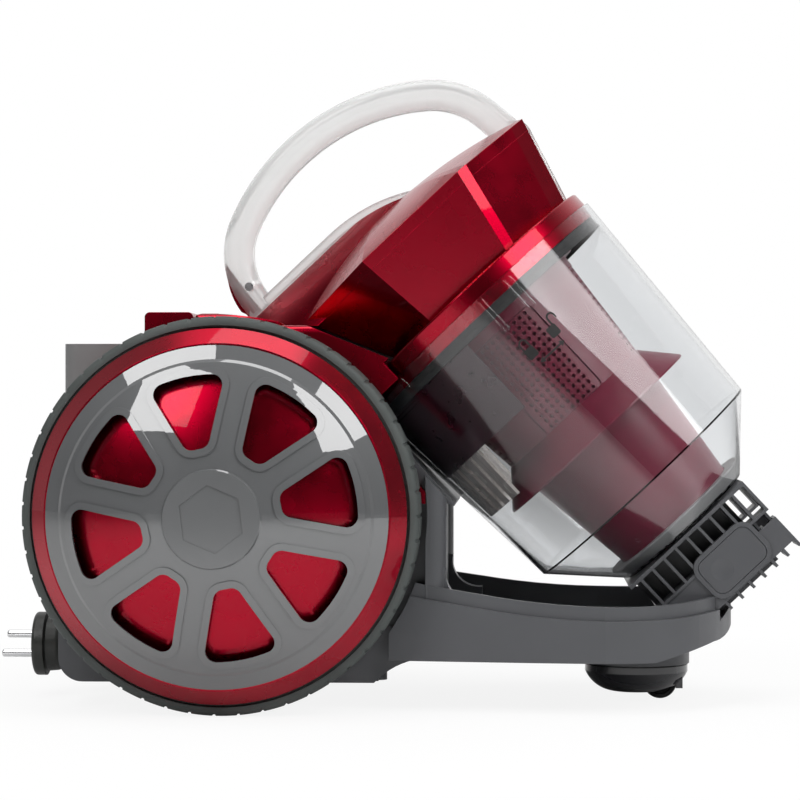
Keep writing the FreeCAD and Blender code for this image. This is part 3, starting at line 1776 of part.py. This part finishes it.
def screw_bosses(low, high):
    """Bosses round the screws between two heights, each with a rib to the side wall."""
    bosses = []
    for x, y in screw_spots:
        rib = box((x - boss_rib / 2, y, low), (x + boss_rib / 2, housing_half_width - 1, high))
        bosses += both_sides(cylinder(screw_boss_radius, low, high, x, y).fuse(rib))
    return bosses


def base_screws():
    """Screws that hold the halves of the housing, with cross recesses."""
    screws = []
    seat = seam_z - screw_below_seam
    low = seat - screw_head_height
    for x, y in screw_spots:
        for side in (-1, 1):
            head = cylinder(screw_head_radius, low, seat, x, side * y)
            cross = box((x - 2.5, side * y - 0.5, low - 1), (x + 2.5, side * y + 0.5, low + 1))
            cross = cross.fuse(box((x - 0.5, side * y - 2.5, low - 1), (x + 0.5, side * y + 2.5, low + 1)))
            shank = cylinder(screw_radius, seat - 1, seam_z + screw_above_seam, x, side * y)
            screws.append(head.cut(cross).fuse(shank))
    return group(screws)


for side, side_name in ((-1, "right"), (1, "left")):
    save(side_name + "_tyre", wheel_place(tyre(), side))
    save(side_name + "_wheel_disc", wheel_place(wheel_disc(), side))
    save(side_name + "_wheel_cover", wheel_place(wheel_cover(), side))
    save(side_name + "_axle", wheel_place(axle(), side))
save("axle_clips", group([wheel_place(axle_clip(), -1), wheel_place(axle_clip(), 1)]))

container_nodes = {
    "dust_cup": dust_cup,
    "cup_base_ring": cup_base_ring,
    "cup_collar": cup_collar,
    "insert_flange": insert_flange,
    "cup_seal": cup_seal,
    "grille_frame": grille_frame,
    "grille_screens": grille_screens,
    "separator_skirt": separator_skirt,
    "inlet_tube": inlet_tube,
    "inlet_guide": inlet_guide,
    "inlet_deflector": deflector,
}
for name, make in container_nodes.items():
    save(name, lean(make()))
save("head_shell", head_shell())
save("lid", lid())
save("handle", handle())
save("hepa_filter", hepa_filter())
save("filter_frame", filter_frame())
save("foam_filter", foam_filter())
save("chassis", chassis())
save("cradle", cradle())
save("upper_housing", upper_housing())
save("power_pedal", pedal(-1))
save("rewind_pedal", pedal(1))
save("caster_fork", caster_fork())
save("caster_axle", caster_axle())
save("caster_roller", caster_roller())
save("hose_inlet", hose_inlet())
save("right_hose_button", hose_button(-1))
save("left_hose_button", hose_button(1))
save("rear_bracket", rear_bracket())
save("plug_body", plug_body())
save("plug_pins", plug_pins())
save("cord_boot", cord_boot())
save("cord_reel", cord_reel())
save("wound_cord", wound_cord())
save("reel_axle", reel_axle())
save("reel_spring", reel_spring())
save("motor_casing", motor_casing())
save("motor_stator", motor_stator())
save("motor_rotor", motor_rotor())
save("fan_impeller", fan_impeller())
save("front_motor_mount", motor_mount(fan_radius, front_mount_start()))
save("rear_motor_mount", motor_mount(motor_radius, 3))
save("exhaust_filter", exhaust_filter())
save("power_switch", power_switch())
save("inlet_seal", inlet_seal())
save("port_seal", port_seal())
save("base_screws", base_screws())
save("handle_screw", handle_screw())
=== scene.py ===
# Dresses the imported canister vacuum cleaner: a finish for every node, and modelled detail where the
# solids are plain. Lengths are in millimetres up to mesh_piece, the lamps and the camera in metres.

import json
import math

import bmesh
import bpy
from mathutils import Matrix, Vector

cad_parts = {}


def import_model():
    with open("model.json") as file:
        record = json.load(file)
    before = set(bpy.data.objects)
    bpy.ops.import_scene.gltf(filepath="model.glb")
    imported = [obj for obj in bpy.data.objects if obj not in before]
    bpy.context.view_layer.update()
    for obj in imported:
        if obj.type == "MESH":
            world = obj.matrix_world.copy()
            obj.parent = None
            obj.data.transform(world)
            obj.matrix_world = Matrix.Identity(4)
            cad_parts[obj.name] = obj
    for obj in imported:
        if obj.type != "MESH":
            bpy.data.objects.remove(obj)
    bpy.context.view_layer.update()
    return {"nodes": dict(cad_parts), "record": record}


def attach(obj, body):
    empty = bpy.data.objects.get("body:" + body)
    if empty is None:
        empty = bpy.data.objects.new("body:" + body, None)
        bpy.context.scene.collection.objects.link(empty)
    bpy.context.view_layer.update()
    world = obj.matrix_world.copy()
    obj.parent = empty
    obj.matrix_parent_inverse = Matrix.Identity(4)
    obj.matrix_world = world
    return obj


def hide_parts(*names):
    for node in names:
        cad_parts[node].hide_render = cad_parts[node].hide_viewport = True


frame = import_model()
nodes = frame["nodes"]
MM = 0.001


# ---------------------------------------------------------------- shader helpers
class Material:
    """A node material built round one Principled shader."""

    def __init__(self, name, color, roughness, **sockets):
        self.data = bpy.data.materials.new(name)
        self.data.use_nodes = True
        self.tree = self.data.node_tree
        self.shader = self.tree.nodes["Principled BSDF"]
        self.set("Base Color", (*color, 1))
        self.set("Roughness", roughness)
        for socket, value in sockets.items():
            self.set(socket.replace("_", " "), value)
        self.coords = self.add("ShaderNodeTexCoord").outputs["Object"]

    def set(self, socket, value):
        self.shader.inputs[socket].default_value = value

    def add(self, kind, **settings):
        node = self.tree.nodes.new(kind)
        for key, value in settings.items():
            setattr(node, key, value)
        return node

    def link(self, source, target):
        self.tree.links.new(source, target)

    def noise(self, scale, detail=3.0, roughness=0.5):
        """Noise in object space. Scale is in cells a metre."""
        node = self.add("ShaderNodeTexNoise")
        node.inputs["Scale"].default_value = scale
        node.inputs["Detail"].default_value = detail
        node.inputs["Roughness"].default_value = roughness
        self.link(self.coords, node.inputs["Vector"])
        return node.outputs["Fac"]

    def spread(self, value, low, high, clamp_low=0.3, clamp_high=0.7):
        """Maps the middle of a 0 to 1 signal onto a range."""
        node = self.add("ShaderNodeMapRange")
        node.inputs["From Min"].default_value = clamp_low
        node.inputs["From Max"].default_value = clamp_high
        node.inputs["To Min"].default_value = low
        node.inputs["To Max"].default_value = high
        self.link(value, node.inputs["Value"])
        return node.outputs["Result"]

    def mix_colors(self, value, low, high):
        node = self.add("ShaderNodeMix", data_type="RGBA")
        node.inputs["A"].default_value = (*low, 1)
        node.inputs["B"].default_value = (*high, 1)
        self.link(value, node.inputs["Factor"])
        return node.outputs["Result"]

    def vary_color(self, scale, low, high):
        mixed = self.mix_colors(self.spread(self.noise(scale), 0, 1), low, high)
        self.link(mixed, self.shader.inputs["Base Color"])

    def vary_roughness(self, scale, low, high, detail=4.0):
        self.link(self.spread(self.noise(scale, detail), low, high), self.shader.inputs["Roughness"])

    def bump(self, height, distance, strength=1.0):
        """Adds a bump of a height signal to the shader's normal."""
        node = self.add("ShaderNodeBump")
        node.inputs["Distance"].default_value = distance
        node.inputs["Strength"].default_value = strength
        self.link(height, node.inputs["Height"])
        old = self.shader.inputs["Normal"].links
        if old:
            self.link(old[0].from_socket, node.inputs["Normal"])
        self.link(node.outputs["Normal"], self.shader.inputs["Normal"])

    def soft_edges(self, radius):
        """Rounds the look of sharp edges."""
        node = self.add("ShaderNodeBevel", samples=4)
        node.inputs["Radius"].default_value = radius
        self.link(node.outputs["Normal"], self.shader.inputs["Normal"])

    def open_to_shadow(self, share):
        """Lets light through to what is behind a clear piece."""
        rays = self.add("ShaderNodeLightPath")
        scaled = self.add("ShaderNodeMath", operation="MULTIPLY")
        scaled.inputs[1].default_value = share
        clear = self.add("ShaderNodeBsdfTransparent")
        mix = self.add("ShaderNodeMixShader")
        output = self.tree.nodes["Material Output"]
        self.link(rays.outputs["Is Shadow Ray"], scaled.inputs[0])
        self.link(scaled.outputs["Value"], mix.inputs["Fac"])
        self.link(self.shader.outputs["BSDF"], mix.inputs[1])
        self.link(clear.outputs["BSDF"], mix.inputs[2])
        self.link(mix.outputs["Shader"], output.inputs["Surface"])


def gloss_plastic(name, color, roughness=0.12, coat=0.5, peel=0.00002, coat_ior=1.5):
    """Moulded glossy plastic: faint flow in the colour, orange peel and fine wipe marks."""
    made = Material(name, color, roughness, Coat_Weight=coat, Coat_Roughness=0.02, Coat_IOR=coat_ior)
    made.vary_color(9.0, tuple(c * 0.85 for c in color), color)
    made.vary_roughness(60.0, roughness * 0.9, roughness * 1.15)
    made.soft_edges(0.0005)
    made.bump(made.noise(90.0, 1.0), peel, 0.5)
    return made.data


def candy_red():
    """Deep red lacquer over fine metal flake, under a clear coat."""
    made = Material("candy_red", RED, 0.26, Metallic=1.0, Coat_Weight=0.35, Coat_Roughness=0.02)
    made.vary_color(7.0, tuple(c * 0.75 for c in RED), RED)
    made.vary_roughness(45.0, 0.23, 0.31)
    made.soft_edges(0.0006)
    made.bump(made.noise(5000.0, 1.0), 0.00001, 0.4)
    return made.data


def satin_plastic(name, color, roughness=0.45, grain=0.00005):
    """Moulded plastic with a fine spark-eroded grain."""
    made = Material(name, color, roughness)
    made.vary_color(14.0, tuple(c * 0.88 for c in color), tuple(min(1, c * 1.06) for c in color))
    made.vary_roughness(90.0, roughness * 0.85, roughness * 1.15)
    made.soft_edges(0.0005)
    made.bump(made.noise(2600.0, 2.0), grain, 0.8)
    return made.data


def rubber(name, color, roughness=0.62):
    """Soft rubber with dust in its grain."""
    made = Material(name, color, roughness)
    made.vary_color(30.0, tuple(c * 0.8 for c in color), tuple(c * 1.2 for c in color))
    made.vary_roughness(120.0, roughness * 0.9, min(1, roughness * 1.2))
    made.bump(made.noise(1800.0, 3.0), 0.00006, 0.8)
    return made.data


def clear_plastic(name, color, roughness=0.02, shadow=0.92, cloud=0.0):
    """Clear acrylic that lets light through to what is inside. Cloud is the share that is milky."""
    made = Material(name, color, roughness, Transmission_Weight=1.0 - cloud, IOR=1.45)
    made.vary_roughness(40.0, roughness * 0.6, roughness * 1.8)
    made.open_to_shadow(shadow)
    return made.data


def metal(name, color, roughness=0.3, brush=900.0):
    """Metal with fine machining marks."""
    made = Material(name, color, roughness, Metallic=1.0)
    made.vary_roughness(brush, roughness * 0.7, roughness * 1.4)
    made.bump(made.noise(brush, 1.0), 0.00001, 0.5)
    return made.data


def foam(name, color):
    """Open-cell foam."""
    made = Material(name, color, 0.95)
    cells = made.add("ShaderNodeTexVoronoi")
    cells.inputs["Scale"].default_value = 700.0
    made.link(made.coords, cells.inputs["Vector"])
    # The colour darkens towards the middle of each cell, where the bump sinks it: painted shade in the
    # foam's pores.
    dark = tuple(c * 0.45 for c in color)
    made.link(made.mix_colors(cells.outputs["Distance"], dark, color), made.shader.inputs["Base Color"])
    made.bump(cells.outputs["Distance"], 0.0004)
    return made.data


def fleece(name, color):
    """Fibrous filter paper."""
    made = Material(name, color, 0.9)
    made.vary_color(900.0, tuple(c * 0.85 for c in color), color)
    made.bump(made.noise(3000.0, 4.0), 0.0001)
    return made.data


# ---------------------------------------------------------------- finishes
RED = (0.43, 0.0003, 0.018)
COVER_GREY = (0.105, 0.108, 0.112)
CHASSIS_GREY = (0.085, 0.087, 0.094)
DUCT_RED = (0.022, 0.003, 0.008)
INSERT_RED = (0.12, 0.005, 0.022)

finishes = {
    "tyre": rubber("tyre_rubber", (0.062, 0.071, 0.068)),
    "red_gloss": candy_red(),
    "cover_grey": gloss_plastic("cover_grey", COVER_GREY, 0.5, 1.0, peel=0.000002, coat_ior=1.9),
    "chassis_grey": satin_plastic("chassis_grey", CHASSIS_GREY, 0.38),
    "post_grey": satin_plastic("post_grey", (0.2, 0.2, 0.2), 0.6),
    "black_plastic": satin_plastic("black_plastic", (0.012, 0.012, 0.012), 0.7),
    "dark_gloss": gloss_plastic("dark_gloss", (0.03, 0.03, 0.034), 0.15, 0.4),
    "clear_cup": clear_plastic("clear_cup", (0.93, 0.94, 0.95), 0.004),
    "clear_handle": clear_plastic("clear_handle", (0.84, 0.845, 0.84), 0.1, cloud=0.35),
    "insert_red": satin_plastic("insert_red", INSERT_RED, 0.36, 0.000002),
    "screen": satin_plastic("insert_screen", (0.1, 0.012, 0.03), 0.35),
    "smoky": clear_plastic("smoky_skirt", (0.5, 0.45, 0.41), 0.2, cloud=0.3),
    "soft_black": rubber("seal_rubber", (0.012, 0.012, 0.012), 0.75),
    "filter_white": fleece("filter_fleece", (0.75, 0.75, 0.72)),
    "foam": foam("filter_foam", (0.12, 0.12, 0.14)),
    "steel": metal("steel", (0.55, 0.55, 0.56)),
    "chrome": metal("chrome", (0.8, 0.8, 0.81), 0.08, 300.0),
    "motor_steel": metal("motor_steel", (0.5, 0.51, 0.52), 0.4),
    "plug_grey": satin_plastic("plug_grey", (0.026, 0.027, 0.024), 0.42),
}


def dress_nodes():
    """Gives every carried-over node its finish and smooth shading between its sharp edges."""
    for part in frame["record"]["subparts"]:
        node = nodes[part["node"]]
        node.data.materials.clear()
        node.data.materials.append(finishes[part["material_slot"]])
        if node.data.has_custom_normals:
            bpy.context.view_layer.objects.active = node
            node.select_set(True)
            bpy.ops.mesh.customdata_custom_splitnormals_clear()
            node.select_set(False)
        node.data.shade_smooth()
        node.data.set_sharp_from_angle(angle=math.radians(28))
    nodes["inlet_guide"].data.materials[0] = satin_plastic("inlet_guide_red", DUCT_RED, 0.3, 0.000002)


# ---------------------------------------------------------------- modelled detail
WHEEL_CENTRE = Vector((-109.5, 0, 112.5))
NOTCHES = 51
NOTCH_DEPTH = 0.8
CUP = Matrix.Translation(Vector((39.4, 0, 227.2))) @ Matrix.Rotation(math.radians(-43.2), 4, "Y")
CUP_RIM_RADIUS, CUP_RIM_Z = 90.0, 8.5
CUP_CORNER_RADIUS, CUP_CORNER_Z = 80.6, -134.5
INSERT_RADIUS, INSERT_TOP_Z = 58.6, -5.0
INSERT_TAPER = 7.1 / 70.0
HEAD_REAR_LOW = (-56.0, 18.0)
HEAD_REAR_HIGH = (-80.0, 70.0)


def mesh_piece(name, points, faces, body, slot, stands_for=(), place=None, sharp=35):
    """A piece from points in millimetres, riding on a body and finished as its slot."""
    mesh = bpy.data.meshes.new(name)
    place = place or Matrix.Identity(4)
    mesh.from_pydata([(place @ Vector(p)) * MM for p in points], [], faces)
    mesh.validate()
    work = bmesh.new()
    work.from_mesh(mesh)
    bmesh.ops.recalc_face_normals(work, faces=work.faces)
    work.to_mesh(mesh)
    work.free()
    mesh.shade_smooth()
    mesh.set_sharp_from_angle(angle=math.radians(sharp))
    piece = bpy.data.objects.new(name, mesh)
    piece.data.materials.append(finishes[slot])
    bpy.context.scene.collection.objects.link(piece)
    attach(piece, body)
    if stands_for:
        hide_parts(*stands_for)
    return piece


def grid_faces(rows, columns, wrap_rows=False, wrap_columns=False, start=0):
    """Quads over points laid out row by row."""
    faces = []
    for row in range(rows if wrap_rows else rows - 1):
        for column in range(columns if wrap_columns else columns - 1):
            here = start + row * columns
            below = start + (row + 1) % rows * columns
            right = (column + 1) % columns
            faces.append((here + column, here + right, below + right, below + column))
    return faces


def tyre(side, name):
    """Tyre with shallow notches across its tread and a fine lip beside the rim."""
    # radius and distance from the middle of the machine, once round the section
    profile = [
        (103.6, 72.3), (108.3, 72.0), (110.9, 72.9), (112.2, 74.3), (112.5, 76.5), (112.5, 90.0),
        (112.5, 103.6), (112.1, 105.9), (111.1, 107.2), (109.6, 107.9), (107.9, 108.0), (107.3, 107.9),
        (107.0, 107.4), (106.9, 105.4), (105.6, 105.1), (103.6, 105.1),
    ]
    shoulder, tread = 109.4, 111.8
    # share of the pitch, and whether the notch is cut there
    spots = [(-0.085, 0), (-0.05, 1), (0.05, 1), (0.085, 0), (0.3, 0), (0.5, 0), (0.7, 0)]
    points = []
    for notch in range(NOTCHES):
        for part, cut in spots:
            angle = 2 * math.pi * (notch + part) / NOTCHES
            for radius, y in profile:
                fade = (radius - shoulder) / (tread - shoulder)
                reach = radius - NOTCH_DEPTH * cut * min(1.0, max(0.0, fade))
                spoke = Vector((reach * math.cos(angle), side * y, reach * math.sin(angle)))
                points.append(WHEEL_CENTRE + spoke)
    faces = grid_faces(NOTCHES * len(spots), len(profile), True, True)
    mesh_piece(name + "_ribbed_tyre", points, faces, name + "_wheel", "tyre", [name + "_tyre"])


def cone_point(radius, across, z):
    """Point on a round surface about the cup's axis, by its distance along the surface from the -Y side."""
    angle = across / radius
    return (radius * math.sin(angle), -radius * math.cos(angle), z)


def screen(index):
    """Perforated panel in one window of the insert."""
    columns, rows, pitch, hole, sides = 9, 15, 4.2, 1.15, 12
    top, tall = -12.4, 62.4
    window_edge = 21.9
    thickness = 1.2
    recess = 0.5

    def radius_at(z):
        return INSERT_RADIUS - INSERT_TAPER * (INSERT_TOP_Z - z) - recess

    points = []
    faces = []
    turn = Matrix.Rotation(math.radians(90 * index), 4, "Z")
    corners = []
    for step in range(sides):
        angle = math.pi * (0.25 + 2 * step / sides)
        x, y = math.cos(angle), math.sin(angle)
        square = max(abs(x), abs(y))
        corners.append((x / square, y / square, x, y))
    for row in range(rows):
        for column in range(columns):
            middle = (column - (columns - 1) / 2) * pitch
            height = top - (row + 0.5) * (tall / rows)
            half_x, half_z = pitch / 2, tall / rows / 2
            start = len(points)
            for square_x, square_y, x, y in corners:
                for a, z, inward in (
                    (middle + square_x * half_x, height + square_y * half_z, 0.0),
                    (middle + x * hole, height + y * hole, 0.0),
                    (middle + x * hole, height + y * hole, thickness),
                ):
                    radius = radius_at(z)
                    point = Vector(cone_point(radius, a, z))
                    point.xy *= (radius - inward) / radius
                    points.append(turn @ point)
            faces += grid_faces(sides, 3, True, False, start)
    for sign in (-1, 1):
        start = len(points)
        for row in range(rows + 1):
            z = top - row * (tall / rows)
            for edge in (columns * pitch / 2, window_edge):
                points.append(turn @ Vector(cone_point(radius_at(z), sign * edge, z)))
        faces += grid_faces(rows + 1, 2, False, False, start)
    mesh_piece("screen_panel_%d" % index, points, faces, "container", "insert_red", place=CUP)


def cup_radius(z):
    """Outside radius of the clear cup at a height along its axis."""
    slope = (CUP_RIM_RADIUS - CUP_CORNER_RADIUS) / (CUP_RIM_Z - CUP_CORNER_Z)
    return CUP_RIM_RADIUS - slope * (CUP_RIM_Z - z)


def on_cup(across, z, proud):
    """Point on the cup's outside, at a distance across from its middle as seen square to its side."""
    radius = cup_radius(z)
    angle = math.asin(across / radius)
    return ((radius + proud) * math.sin(angle), -(radius + proud) * math.cos(angle), z)


def printed(name, outlines):
    """Flat black marks on the cup: each outline is a row of quads, given as pairs of points."""
    points = []
    faces = []
    for outline in outlines:
        start = len(points)
        for low, high in outline:
            points += [on_cup(*low, 0.06), on_cup(*high, 0.06)]
        faces += grid_faces(len(outline), 2, False, False, start)
    mesh_piece(name, points, faces, "cup", "black_plastic", place=CUP)


def arch(middle, base, radius, width, left_leg, right_leg, steps=12):
    """Padlock's shackle: two legs and a half ring, as pairs of inner and outer points."""
    inner, outer = radius - width / 2, radius + width / 2
    pairs = [((middle - inner, base - left_leg), (middle - outer, base - left_leg))]
    for step in range(steps + 1):
        angle = math.pi * (1 - step / steps)
        x, z = math.cos(angle), math.sin(angle)
        pairs.append(((middle + inner * x, base + inner * z), (middle + outer * x, base + outer * z)))
    pairs.append(((middle + inner, base - right_leg), (middle + outer, base - right_leg)))
    return pairs


def padlock(name, left, top, shackle_middle, left_leg, right_leg):
    """Padlock sign: body with rounded corners and its shackle."""
    width, height, soft = 6.3, 6.8, 0.7
    body = []
    for step in range(7):
        part = step / 6
        inset = soft if step in (0, 6) else 0.0
        x = left + width * (part if step in (0, 6) else (0.1, 0.3, 0.5, 0.7, 0.9)[step - 1])
        body.append(((x, top - height + inset), (x, top - inset)))
    shackle = arch(shackle_middle, top + 3.4, 2.3, 1.1, left_leg, right_leg)
    printed(name, [body, shackle])


def twist_signs():
    """Closed and open padlocks with a double arrow, which show the cup's twist."""
    padlock("sign_locked", 0.3, -31.0, 3.4, 3.6, 3.6)
    padlock("sign_unlocked", 18.0, -30.4, 25.4, 3.8, 2.0)
    low, high, line = 3.4, 22.2, -41.9
    shaft = [((x, line - 0.6), (x, line + 0.6)) for x in (low + 2.6, 8.0, 12.8, 17.6, high - 2.6)]
    heads = []
    for tip, way in ((low, 1), (high, -1)):
        steps = [(tip + way * d, 0.62 * d) for d in (0.05, 1.6, 3.2)]
        heads.append([((x, line - half), (x, line + half)) for x, half in steps])
    printed("sign_arrow", [shaft] + heads)


def moulded_line(name, path, width=0.7, height=0.45):
    """Low rounded rib on the cup along a path of points across and up."""
    rows = []
    for index, (across, z) in enumerate(path):
        before = path[max(0, index - 1)]
        after = path[min(len(path) - 1, index + 1)]
        run = Vector((after[0] - before[0], after[1] - before[1])).normalized()
        side = Vector((-run.y, run.x)) * width / 2
        for share, lift in ((-1, -0.1), (-0.6, height * 0.8), (0, height), (0.6, height * 0.8), (1, -0.1)):
            rows.append(on_cup(across + side.x * share, z + side.y * share, lift))
    mesh_piece(name, rows, grid_faces(len(path), 5), "cup", "clear_cup", place=CUP)


def bend(middle, base, radius, start, end, steps=6):
    """Arc of points across and up."""
    angles = [math.radians(start + (end - start) * step / steps) for step in range(steps + 1)]
    return [(middle + radius * math.cos(a), base + radius * math.sin(a)) for a in angles]


def catch_lines():
    """Moulded tongues and stops of the twist lock under the cup's rim."""
    paths = {
        "tongue": [(1.2, 7), (1.2, -4)] + bend(2.6, -15.1, 1.4, 180, 360) + [(4.0, -4), (4.0, 7)],
        "slot": [(20.5, 6), (20.5, -5), (20.5, -15.6), (22.6, -15.8), (24.7, -15.6), (24.7, -5), (24.7, 6)],
        "hook": [(-56, 3), (-49, 3)] + bend(-42.5, 5.4, 2.4, -90, 90) + [(-46, 7.8)],
        "corner": [(-60.5, 6.4), (-60.5, 1)] + bend(-57.6, -0.7, 2.9, 180, 270) + [(-53, -3.6), (-47, -3.6)],
    }
    for name, path in paths.items():
        moulded_line("catch_" + name, path)
    for index, across in enumerate((-23.4, -19.4)):
        moulded_line("catch_bar_%d" % index, [(across, 6.6), (across, 3.2), (across, -0.2)], 1.0, 0.7)
    for index, z in enumerate((-8.1, -10.4)):
        moulded_line("catch_step_%d" % index, [(-80, z), (-76, z), (-72, z), (-68, z), (-65, z)], 1.1, 0.8)


def smoky_deflector():
    """Ribbed translucent skirt under the duct box."""
    steps, rows = 84, 7
    top, low = -54.0, -88.0
    front = 56.0
    inside_cup = 3.6
    rib = 0.9
    points = []
    for row in range(rows):
        z = top + (low - top) * row / (rows - 1)
        radius = cup_radius(z) - inside_cup
        limit = math.acos(front / radius)
        for column in range(steps + 1):
            angle = math.pi + limit * (2 * column / steps - 1)
            reach = radius - (rib if column % 6 < 3 else 0.0)
            points.append((reach * math.cos(angle), reach * math.sin(angle), z))
    faces = grid_faces(rows, steps + 1)
    mesh_piece("ribbed_deflector", points, faces, "container", "smoky", ["inlet_deflector"], CUP, 20)


def gap_shade_strips():
    """Soft black strips on the housing that close the seam behind the head, on both sides of the air port:
    painted shade, dark pieces put where the gap lies in shade.
    """
    (low_x, low_z), (high_x, high_z) = HEAD_REAR_LOW, HEAD_REAR_HIGH
    near, inner, outer = 0.35, 32.0, 35.0
    for side, name in ((-1, "right"), (1, "left")):
        points = []
        for z, far in ((18.4, 3.4), (23.0, 1.45), (66.0, 1.45)):
            face = low_x + (high_x - low_x) * (z - low_z) / (high_z - low_z)
            for behind, y in ((near, inner), (far, inner), (far, outer), (near, outer)):
                points.append((face - behind, side * y, z))
        faces = grid_faces(3, 4, False, True) + [(3, 2, 1, 0), (8, 9, 10, 11)]
        # near-black rubber set in the gap behind the head: painted shade in the seam
        mesh_piece(name + "_gap_shade_strip", points, faces, "base", "soft_black", place=CUP)


def detail():
    """All the modelled pieces."""
    tyre(-1, "right")
    tyre(1, "left")
    for index in range(4):
        screen(index)
    twist_signs()
    catch_lines()
    smoky_deflector()
    gap_shade_strips()


# ---------------------------------------------------------------- stage, lights and camera
def floor():
    """White floor: it shows the object's soft shadow near the object and is plain white further out."""
    reach = 6.0
    mesh = bpy.data.meshes.new("floor")
    corners = [(-reach, -reach, 0), (reach, -reach, 0), (reach, reach, 0), (-reach, reach, 0)]
    mesh.from_pydata(corners, [], [(0, 1, 2, 3)])
    plane = bpy.data.objects.new("floor", mesh)
    made = Material("floor_white", (0.88, 0.88, 0.88), 1.0)
    made.set("Specular IOR Level", 0.0)
    rays = made.add("ShaderNodeLightPath")
    distance = made.add("ShaderNodeVectorMath", operation="LENGTH")
    made.link(made.coords, distance.inputs[0])
    share = made.spread(distance.outputs["Value"], 0.88, 1.0, 0.2, 0.5)
    factor = made.add("ShaderNodeMath", operation="MULTIPLY")
    made.link(rays.outputs["Is Camera Ray"], factor.inputs[0])
    made.link(share, factor.inputs[1])
    white = made.add("ShaderNodeEmission")
    mix = made.add("ShaderNodeMixShader")
    made.link(factor.outputs["Value"], mix.inputs["Fac"])
    made.link(made.shader.outputs["BSDF"], mix.inputs[1])
    made.link(white.outputs["Emission"], mix.inputs[2])
    made.link(mix.outputs["Shader"], made.tree.nodes["Material Output"].inputs["Surface"])
    plane.data.materials.append(made.data)
    bpy.context.scene.collection.objects.link(plane)


def softbox(name, azimuth, elevation, size, brightness, distance=2.0):
    """Rectangular lamp aimed at the object. Azimuth runs from -Y towards +X, in degrees."""
    lamp = bpy.data.lights.new(name, "AREA")
    lamp.shape = "RECTANGLE"
    lamp.size, lamp.size_y = size
    lamp.energy = brightness * math.pi * size[0] * size[1]
    holder = bpy.data.objects.new(name, lamp)
    turn, rise = math.radians(azimuth), math.radians(elevation)
    way = Vector((math.sin(turn) * math.cos(rise), -math.cos(turn) * math.cos(rise), math.sin(rise)))
    holder.location = Vector((0.0, 0.0, 0.16)) + way * distance
    holder.rotation_euler = way.to_track_quat("Z", "Y").to_euler()
    bpy.context.scene.collection.objects.link(holder)


def world():
    """White behind the object and dim on the camera's side. The camera sees plain white."""
    made = bpy.data.worlds.new("studio")
    made.use_nodes = True
    bpy.context.scene.world = made
    tree = made.node_tree
    background = tree.nodes["Background"]
    background.inputs["Color"].default_value = (1, 1, 1, 1)
    coords = tree.nodes.new("ShaderNodeTexCoord")
    split = tree.nodes.new("ShaderNodeSeparateXYZ")
    ramp = tree.nodes.new("ShaderNodeMapRange")
    ramp.inputs["From Min"].default_value = 0.0
    ramp.inputs["From Max"].default_value = 0.7
    ramp.inputs["To Min"].default_value = 0.06
    ramp.inputs["To Max"].default_value = 0.9
    rays = tree.nodes.new("ShaderNodeLightPath")
    mix = tree.nodes.new("ShaderNodeMix")
    mix.inputs["B"].default_value = 1.0
    tree.links.new(coords.outputs["Generated"], split.inputs["Vector"])
    tree.links.new(split.outputs["Y"], ramp.inputs["Value"])
    tree.links.new(ramp.outputs["Result"], mix.inputs["A"])
    tree.links.new(rays.outputs["Is Camera Ray"], mix.inputs["Factor"])
    tree.links.new(mix.outputs["Result"], background.inputs["Strength"])


def camera():
    """Camera on the right side, a little ahead of the wheels, level with the middle of the cup."""
    data = bpy.data.cameras.new("camera")
    data.lens = 120.2
    data.sensor_width = 36.0
    data.clip_end = 50.0
    holder = bpy.data.objects.new("camera", data)
    holder.location = (0.0646, -1.6, 0.1778)
    aim = Vector((-0.0132, 0.0, 0.1778))
    holder.rotation_euler = (aim - holder.location).to_track_quat("-Z", "Y").to_euler()
    bpy.context.scene.collection.objects.link(holder)
    bpy.context.scene.camera = holder


def stage():
    """Floor, surroundings, lamps and camera."""
    floor()
    world()
    softbox("right_box", 49, 36, (1.15, 1.05), 5.6)
    softbox("left_box", -32, 38, (0.82, 0.92), 5.6)
    softbox("top_box", 0, 84, (1.4, 0.9), 3.4, 1.7)
    camera()
    bpy.context.scene.view_settings.view_transform = "Standard"


dress_nodes()
detail()
stage()
